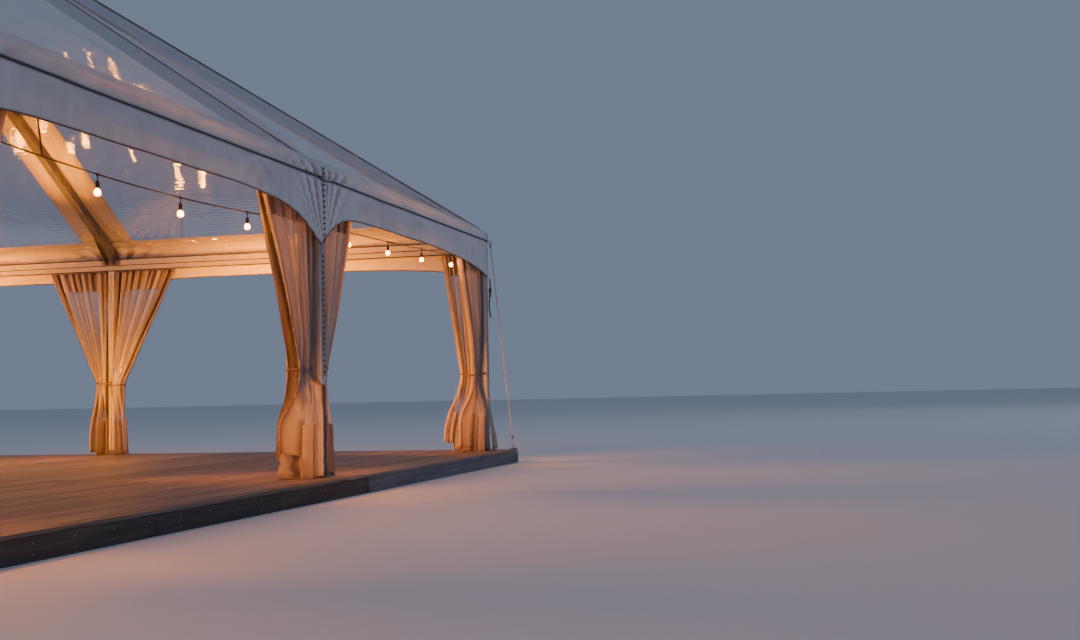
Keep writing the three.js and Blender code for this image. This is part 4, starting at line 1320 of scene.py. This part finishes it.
def curtain_grid(arm, seed):
    """Grid of a drawn curtain, head first: x from the post along the side, y inwards, z over the deck."""
    draw = np.random.default_rng(seed)
    u = np.linspace(0, 1, COLUMNS)[None, :]
    fall = np.linspace(0, 1, ROWS)[:, None]
    heights = HANG * (1 - fall) + 0.004 * fall
    edge = leading_edge(arm, heights)
    # The pleats bunch unevenly and keep their depth all the way down, but the stiff foot takes broad folds
    warp = u + 0.018 * np.sin(4 * math.pi * u + draw.random() * 6)
    warp = warp + 0.01 * np.sin(6.8 * math.pi * u + draw.random() * 6)
    phase = 2 * math.pi * PLEATS * warp + 0.22 * smooth_noise(seed, u * 5, heights * 1.1)
    depth = 0.7 + 0.6 * np.interp(warp, np.linspace(-0.1, 1.1, PLEATS + 4), draw.random(PLEATS + 4))
    near_tie = np.exp(-((heights - TIE_Z) / 0.16) ** 2)
    fine = np.sin(phase) + 0.26 * np.sin(2 * phase + 0.6) + 0.12 * np.sin(3.1 * phase + 2 * heights)
    fine = fine + 0.14 * near_tie * np.sin(4.3 * phase)
    stiff = ease((1.0 - heights) / 0.6)
    wave = fine * (1 - 0.55 * stiff) + 0.25 * stiff * np.sin(0.42 * phase + draw.random() * 6)
    start = POST / 2 + 0.012
    x = start + (edge - start) * (u ** 0.95)
    inside = arm["inside"]
    middle = np.interp(heights, [0, 0.6, TIE_Z, 1.2, 1.5, 2.2, HANG], [0.4, 0.4, 0.34, 0.26, 0.2, 0.12, 0.07])
    # Under the tie the cloth runs in and out in three legs, so it stands on the deck in deep folds
    legs = 0.5 + 0.5 * np.cos(2 * math.pi * (u - 0.42) / 0.6)
    skirt = inside * (1.06 * legs - 0.12) * (0.72 + 0.28 * ease((0.9 - heights) / 0.5))
    centre = (0.018 + middle * inside) * (1 - stiff) + skirt * stiff

    def row_points(amount):
        shift = x - 0.35 * amount * depth * np.sin(2 * phase) * (1 - stiff)
        return shift, centre + amount * depth * wave

    # The depth of the pleats that makes each row as long as the panel is wide, found by halving, up to a limit
    low, high = np.full((ROWS, 1), 0.0), np.full((ROWS, 1), DEEPEST)
    for _ in range(16):
        amount = (low + high) / 2
        px, py = row_points(amount)
        length = np.hypot(np.diff(px, axis=1), np.diff(py, axis=1)).sum(axis=1, keepdims=True)
        short = length < TAKEN_UP * PANEL_WIDE
        low, high = np.where(short, amount, low), np.where(short, high, amount)
    most = np.interp(heights, [0, 0.3, 0.85, TIE_Z, 1.15, 1.6, 2.2, HANG],
                     [0.085, 0.08, 0.075, 0.06, 0.066, 0.06, 0.05, 0.042])
    px, py = row_points(np.minimum(amount, most))
    # At a middle post the first pleat passes in front of the post under the tie
    lower = arm["wrap"] * ease((0.97 - heights) / 0.14)
    px = px - 0.117 * lower * (1 - ease(u / 0.2))
    before = lower * (1 - ease((u - 0.1) / 0.14))
    py = py * (1 - before) - before * (0.066 + 0.007 * np.sin(phase))
    # The leading corner of the hem is caught up, so the hem climbs to it, and what hangs under the fold slumps
    caught = arm["caught"] * ease((u - 0.78) / 0.06) * (1 + 0.12 * np.sin(26 * u + draw.random() * 6))
    z = heights + caught * np.clip(1 - heights / 0.75, 0, 1) ** 1.2
    swag = np.sin(2 * math.pi * (heights / 0.15 + 0.3 * np.sin(3.2 * math.pi * u + draw.random() * 6)))
    bulge = 0.026 * swag * np.clip(1 - heights / 0.5, 0, 1) * np.clip(heights / 0.03, 0, 1)
    bulge = bulge * (0.3 + 0.7 * ease((u - 0.3) / 0.2)) * (1 - 0.8 * ease((u - 0.72) / 0.1))
    bulge = bulge * (0.2 + 4 * arm["caught"])
    px = px + 0.3 * bulge * np.sin(2.6 * math.pi * u)
    py = py - bulge - 0.02 * np.clip(1 - heights / 0.05, 0, 1) * np.cos(7 * u + seed)
    # Small wrinkles run out of the tie, up and down, and nothing passes through the beam or the valance
    pull = 0.008 * np.exp(-np.abs(z - TIE_Z) / 0.18) * np.sin(phase * 2.6 + z * 9)
    py = py + pull + 0.004 * smooth_noise(seed + 5, u * 15, z * 5)
    py = np.maximum(py, np.interp(z, [0, 0.5, 1.0, HANG - 0.45, HANG], [-0.075, -0.07, -0.06, -0.046, -0.04]))
    # Painted shade and highlight for the curtain's finish, varied along and between the pleats: above 0 the
    # cloth is painted darker, below 0 lighter.
    shade = 0.05 - 0.5 * np.sin(phase + 0.8) + 0.4 * np.sin(0.43 * phase + seed)
    shade = np.clip(shade + 0.4 * np.sin(2.7 * phase + 2 * heights), -1, 1) * (1 - 0.3 * stiff)
    return np.stack([px, py, np.maximum(z, 0.003)], axis=-1), shade


# %% The flat panel and its borders
panel_u, panel_v = np.linspace(0, PANEL_WIDE, COLUMNS), np.linspace(0, PANEL_TALL, ROWS)
panel_flat = np.stack(np.meshgrid(panel_u, panel_v), axis=-1)
middle_u = (panel_u[:-1] + panel_u[1:]) / 2
middle_v = (panel_v[:-1] + panel_v[1:]) / 2
fabric_u = (middle_u < POST_BORDER) | (middle_u > PANEL_WIDE - LEAD_BORDER)
fabric_v = (middle_v < HEAD_BORDER) | (middle_v > PANEL_TALL - FOOT_BORDER)
panel_zones = (fabric_v[:, None] | fabric_u[None, :]).astype(int)

# %% Curtains, hooks, knots and ties on every post
hook_profile = [(0, -0.006), (0.004, -0.006), (0.004, 0.006), (0.011, 0.007), (0.012, 0.011), (0.011, 0.015)]
hook_pattern = turned_shape("curtain_hook", [*hook_profile, (0, 0.016)], 10)
knot_profile = [(0, -0.008), (0.006, -0.006), (0.009, 0), (0.006, 0.006), (0, 0.008)]
knot_pattern = turned_shape("edge_knot", knot_profile, 7)


def bundle_loop(points, z, half, grow_by, steps=40):
    """Outline in plan of a curtain at a height, as the hull that a tie follows."""
    level = points[np.abs(points[..., 2] - z) < half][:, :2]
    angle = np.linspace(0, 2 * math.pi, steps, endpoint=False)
    way = np.stack([np.cos(angle), np.sin(angle)])
    hull = (level @ way).max(axis=0) + grow_by
    slope = (np.roll(hull, -1) - np.roll(hull, 1)) / (angle[2] - angle[0])
    return (hull * way + slope * np.stack([-way[1], way[0]])).T


def tie_band(name, loop, z, place):
    """A flat webbing loop with a soft bulge in the middle of its width."""
    closed = np.vstack([loop, loop[:1]])
    away = closed - closed.mean(axis=0)
    away /= np.linalg.norm(away, axis=1, keepdims=True)
    wobble = TIE_WOBBLE * np.sin(np.linspace(0, 4 * math.pi, len(closed)) + 1)
    rings = []
    for share in np.linspace(-1, 1, 5):
        ring = closed + away * TIE_BULGE * (1 - share ** 2)
        rings.append(place(ring[:, 0], ring[:, 1], z + share * TIE_HIGH / 2 + wobble))
    grid = np.array(rings)
    return add_sheet(name, [grid], [flat_of(grid)], TIE_T, [tie_webbing])


def curtain_pair(tag, arms):
    """The drawn curtains of one post; each arm is (size, direction in plan, inward direction in plan)."""
    centre = np.array(POST_NAMES[tag])
    for index, (arm, way, inward) in enumerate(arms):
        way, inward = np.array(way, float), np.array(inward, float)
        local, shade = curtain_grid(arm, 300 + 10 * list(POST_NAMES).index(tag) + index)

        def place(x, y, z):
            plan = centre + x[..., None] * way + y[..., None] * inward
            return np.concatenate([plan, (z + DECK_TOP)[..., None]], axis=-1)

        grid = place(*np.moveaxis(local, -1, 0))
        turned = slice(None, None, -1 if way[0] * inward[1] > way[1] * inward[0] else 1)
        cloth = add_sheet(f"curtain_{tag}_{index}", [grid[:, turned]], [panel_flat[:, turned]], CURTAIN_T,
                          [curtain_vinyl, curtain_border], panel_zones[:, turned], shade[:, turned])
        nodes = [f"curtains_{tag}"] if index == 0 else []
        declare_sheet(cloth, "curtain_vinyl", nodes)
        head = place(local[0, :, 0], np.full(COLUMNS, 0.004), np.full(COLUMNS, HANG + 0.004))
        hooks = copies_along(f"curtain_hooks_{tag}_{index}", hook_pattern, head[::3], HOOK_PITCH, steel)
        declare(hooks, "frame_alloy")
        lead = grid[3:-4, -1]
        knots = copies_along(f"edge_knots_{tag}_{index}", knot_pattern, lead, KNOT_PITCH, curtain_border)
        declare(knots, "curtain_vinyl")
        hem = cord_along(f"curtain_hem_{tag}_{index}", grid[-1] + (0, 0, 0.003), 0.004, curtain_border, 6)
        declare(hem, "curtain_vinyl")
        z = TIE_Z + 0.03 * (index - 0.5)
        loop = bundle_loop(local, z, 0.035, 0.003)
        behind = -POST / 2 - 0.004
        loop[:, 0] = np.where(loop[:, 0] < POST / 2, behind, loop[:, 0])
        loop[:, 1] = np.maximum(loop[:, 1], np.where(loop[:, 0] < POST / 2, behind, -1))
        declare(tie_band(f"curtain_tie_{tag}_{index}", loop, z, place), "curtain_vinyl")


for tag, (x, y) in POST_NAMES.items():
    to_middle = (-math.copysign(1, x), 0)
    to_left = (math.copysign(1, y), 0)
    to_right = (-to_left[0], 0)
    in_y = (0, -math.copysign(1, y))
    if y == 0:
        curtain_pair(tag, [(END_ARM, (0, -1), to_middle), (END_ARM, (0, 1), to_middle)])
    elif abs(x) > HALF_LENGTH - 0.1:
        curtain_pair(tag, [(CORNER_LONG_ARM, to_middle, in_y), (CORNER_SHORT_ARM, in_y, to_middle)])
    else:
        curtain_pair(tag, [(LONG_ARM, to_left, in_y), (SHORT_ARM, to_right, in_y)])

# %% [markdown]
# ## Strips, straps and stays
# A strip of white fabric with black lacing covers the outside of each middle post. At each corner a taut
# braided stay goes from a ring under the eave to an eye plate on the deck, with a ratchet strap beside it.

# %% Post strips
# The strips of the corner posts carry no lacing, and flare at the foot, where their hem is loose.
LONG_STRIP_END, STRIP_END = 0.93, 0.02
LACING_TOP, LACING_LENGTH, LACES = 2.05, 1.08, 22
STRIP_T = 0.0016
for label, side in SIDES.items():
    for order, post in enumerate(side["posts"]):
        corner = order in (0, len(side["posts"]) - 1)
        if corner and not is_long(side):
            continue
        rows, cols = np.linspace(0, 1, 48)[:, None], np.linspace(-1, 1, 9)[None, :]
        top = CORD_Z - (HEM_CORNER if corner else HEM_MIDDLE)["deep"] + 0.05
        low = DECK_TOP + (LONG_STRIP_END if is_long(side) and not corner else STRIP_END)
        foot = ease((rows - 0.72) / 0.28) * corner
        half = (0.046 if corner else 0.036) - 0.007 * np.sin(rows * math.pi) + 0.045 * foot
        out = POST / 2 + 0.003 + 0.003 * cols ** 2 + 0.0015 * np.sin(rows * 23 + order) + 0.07 * foot
        out = out + 0.012 * foot * np.sin(5 * cols + order)
        along = post * BAY + cols * half + 0.003 * np.sin(rows * 9)
        grid = on_side(side, along, out, top * (1 - rows) + low * rows)
        # The strips of the middle posts take the dark grey fabric, whose colour is painted shade.
        strip = add_sheet(f"post_strip_{label}_{order}", [grid], [flat_of(grid)], STRIP_T,
                          [curtain_border if corner else shaded_strip_fabric])
        flat = (float(lengths(grid, 1).sum(axis=1).max()), float(lengths(grid, 0).sum(axis=0).max()))
        declare_sheet(strip, "white_vinyl", [], area_of(grid))
        if corner:
            continue
        t = np.linspace(0, 1, LACES)
        laces = on_side(side, post * BAY + 0.003 * np.sin(9 * t), POST / 2 + 0.008,
                        DECK_TOP + LACING_TOP - LACING_LENGTH * t)
        declare(copies_at(f"post_lacing_{label}_{order}", loop_pattern, laces, black_rubber), "white_vinyl")

# %% Corner stays
STAY_R = 0.008
STAY_FOOT = 0.3
STAY_EYE_Z = DECK_TOP + 0.045
STAY_TOP = SKIRT_OUT + CORD_R + GAP + 3 * STAY_R / 2
STRAP_WIDE, STRAP_T, STRAP_TOP, STRAP_LONG = 0.028, 0.0028, 0.5, 0.52
BRAID_R = 0.0065
UP = np.array([0, 0, 1])


def upright_ring(centre, way, radius):
    """Places of a ring in the upright plane along a direction."""
    turn = np.linspace(0, 2 * math.pi, 24, endpoint=False)[:, None]
    return centre + radius * (np.cos(turn) * way + np.sin(turn) * UP)


def stay_fittings(high, low, foot, way, turn):
    """Rings at both ends, an eye plate with four bolts, and the two sleeves of a stay."""
    rings = (upright_ring(high, way, 0.02), upright_ring(low - 0.014 * UP, way, 0.019))
    parts = [cord_along("ring", ring, 0.004, steel, 8, True) for ring in rings]
    parts.append(copies_at("plate", plate_pattern, [foot], steel, sizes=(0.08, 0.08, 0.012)))
    bolts = [foot + (dx * 0.028, dy * 0.028, 0.006) for dx in (-1, 1) for dy in (-1, 1)]
    parts.append(copies_at("bolts", bolt, bolts, steel, sizes=(0.4, 0.4, 0.4)))
    down = (low - high) / np.linalg.norm(low - high)
    sleeves = [high + down * distance for distance in (0.05, 2.62)]
    parts.append(copies_at("sleeves", plate_pattern, sleeves, steel, (0, 0, turn), (0.02, 0.02, 0.05)))
    return parts


for row, sy in (("front", -1), ("back", 1)):
    for tag, sx in (("left", -1), ("right", 1)):
        corner = np.array([sx * HALF_LENGTH, sy * HALF_WIDTH, 0])
        high = corner + (sx * STAY_TOP, sy * STAY_TOP, CORD_Z - 0.012)
        low = corner + (sx * STAY_FOOT, sy * STAY_FOOT, STAY_EYE_Z)
        line = high + (low - high) * np.linspace(0.004, 0.996, 60)[:, None]
        stay = cord_along(f"stay_line_{row}_{tag}", line, BRAID_R, stay_braid, 12)
        declare(stay, "stay_rope", f"stay_{row}_{tag}")
        turn = math.atan2(sy, sx)
        way = np.array([math.cos(turn), math.sin(turn), 0])
        foot = corner + (sx * STAY_FOOT, sy * STAY_FOOT, DECK_TOP + GAP + 0.006)
        declare(join(f"stay_fittings_{row}_{tag}", stay_fittings(high, low, foot, way, turn)), "frame_alloy")
        # The ratchet strap hangs from the corner of the valance against the post
        t = np.linspace(0, 1, 26)[:, None, None]
        across = np.linspace(-STRAP_WIDE / 2, STRAP_WIDE / 2, 5)[None, :, None]
        hung = corner + way * (math.sqrt(2) * SKIRT_OUT + 0.012) + UP * (CORD_Z - STRAP_TOP)
        sideways = np.array([-way[1], way[0], 0])
        grid = hung + across * sideways + 0.012 * np.sin(t * 7) * way - STRAP_LONG * t * UP
        strap = add_sheet(f"corner_strap_{row}_{tag}", [grid], [flat_of(grid)], STRAP_T, [black_webbing])
        declare(strap, "stay_rope")
        box_at = corner + way * (math.sqrt(2) * SKIRT_OUT + 0.018) + UP * (CORD_Z - 0.66)
        ratchet = copies_at(f"strap_ratchet_{row}_{tag}", plate_pattern, [box_at, box_at - 0.07 * UP],
                            black_rubber, (0, 0, turn), [(0.022, 0.036, 0.07), (0.03, 0.036, 0.016)])
        declare(ratchet, "stay_rope")

# %% [markdown]
# ## Lights
# A black cable runs along each long side just inside the posts, clipped to them, with a moulded holder and a
# round clear-glass lamp every 1.15 m. Slanting hangers carry the middle of the cable from the rail.

# %% Light strings
LIGHT_LINE_IN = 0.16
CABLE_R = 0.006
LAMP_PITCH = 1.15
LAMP_START = 0.48
LAMP_R = 0.026
LAMP_LIGHT, LAMP_LIGHT_DROP = 16, 0.128
CLIP_CORNER_Z = DECK_TOP + 2.56
CLIP_MIDDLE_Z = DECK_TOP + 2.4
END_SAG = 0.025
MIDDLE_SAG = 0.105
# Each rod is given as X at the rail, X at the cable and radius
HANGERS = ((1.55, 1.31, 0.006), (1.94, 1.72, 0.0025))


def cable_z(x):
    """Height of the cable: level sag between the middle clips, and a climb with its own sag to the corners."""
    reach = np.abs(x)
    t = (reach - HALF_RIDGE) / BAY
    inner = CLIP_MIDDLE_Z - MIDDLE_SAG * (1 - (reach / HALF_RIDGE) ** 2)
    outer = CLIP_MIDDLE_Z + (CLIP_CORNER_Z - CLIP_MIDDLE_Z) * t - 4 * END_SAG * t * (1 - t)
    return np.where(reach <= HALF_RIDGE, inner, outer)


# Profiles of the lamp's parts as (radius, height under the cable)
holder = turned_shape("lamp_holder", [
    (0, 0.009), (0.009, 0.008), (0.0115, -0.002), (0.0085, -0.01), (0.0042, -0.013), (0.0038, -0.04),
    (0.0055, -0.044), (0.0115, -0.048), (0.0145, -0.055), (0.015, -0.088), (0.017, -0.092), (0.017, -0.098),
    (0.0125, -0.1), (0, -0.1)], 14)
bulb = turned_shape("lamp_bulb", [
    (0, -0.096), (0.011, -0.096), (0.0115, -0.1), (0.016, -0.105), (0.022, -0.112), (0.0255, -0.121),
    (LAMP_R, -0.129), (0.0245, -0.138), (0.019, -0.147), (0.011, -0.152), (0, -0.154)], 18)
coil = turned_shape("lamp_coil", [
    (0, -0.104), (0.003, -0.105), (0.0035, -0.114), (0.006, -0.121), (0.0075, -0.128), (0.006, -0.135),
    (0, -0.138)], 12)
end_x = HALF_LENGTH - POST
first = LAMP_START - LAMP_PITCH * math.floor((LAMP_START + end_x) / LAMP_PITCH)
lamp_x = np.array([x for x in np.arange(first, end_x, LAMP_PITCH) if abs(abs(x) - HALF_RIDGE) >= 2 * POST])
for label, sign in (("front", -1), ("back", 1)):
    y = sign * (HALF_WIDTH - LIGHT_LINE_IN)
    x = np.linspace(-end_x, end_x, 160)
    line = np.column_stack([x, np.full(len(x), y), cable_z(x)])
    cable = [cord_along("cable", line, CABLE_R, black_rubber, 8)]
    inner = sign * (HALF_WIDTH - POST / 2)
    for at in (-end_x + CABLE_R, -HALF_RIDGE, HALF_RIDGE, end_x - CABLE_R):
        z = float(cable_z(at))
        hook = [(at, inner, z + 0.012), (at, (inner + y) / 2, z + 0.016), (at, y, z + 0.008),
                (at, y - sign * 0.008, z - 0.004)]
        cable.append(cord_along("clip", hook, 0.003, steel, 6))
    declare(join(f"light_cable_{label}", cable), "light_string", f"lights_{label}")
    hangers = []
    for at_rail, at_cable, radius in HANGERS:
        high = (sign * at_rail, sign * (HALF_WIDTH - RAIL_W / 2 - 0.004), RAIL_Z + 0.03)
        low = (sign * at_cable, y, float(cable_z(at_cable)) + 0.004)
        hangers.append(cord_along("hanger", [high, low], radius, black_rubber, 8))
    declare(join(f"cable_hangers_{label}", hangers), "light_string")
    lamps = np.column_stack([-sign * lamp_x, np.full(len(lamp_x), y), cable_z(lamp_x)])
    declare(copies_at(f"lamp_holders_{label}", holder, lamps, black_rubber), "light_string")
    declare(copies_at(f"lamp_bulbs_{label}", bulb, lamps, lamp_glass), "light_string")
    declare(copies_at(f"lamp_coils_{label}", coil, lamps, lamp_coil), "light_string")
    for number, lamp in enumerate(lamps):
        add_point(f"lamp_{label}_{number}", LAMP_LIGHT, LAMP_R, tuple(lamp - (0, 0, LAMP_LIGHT_DROP)))

# %% Clear away
for pattern_object in patterns:
    bpy.data.objects.remove(pattern_object)
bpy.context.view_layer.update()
triangles = {}
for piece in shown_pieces():
    if piece.type == "MESH":
        piece.data.calc_loop_triangles()
        triangles[piece.name] = len(piece.data.loop_triangles)
largest = max(triangles, key=triangles.get)
print("pieces", len(triangles), "triangles", sum(triangles.values()), "largest", largest, triangles[largest])
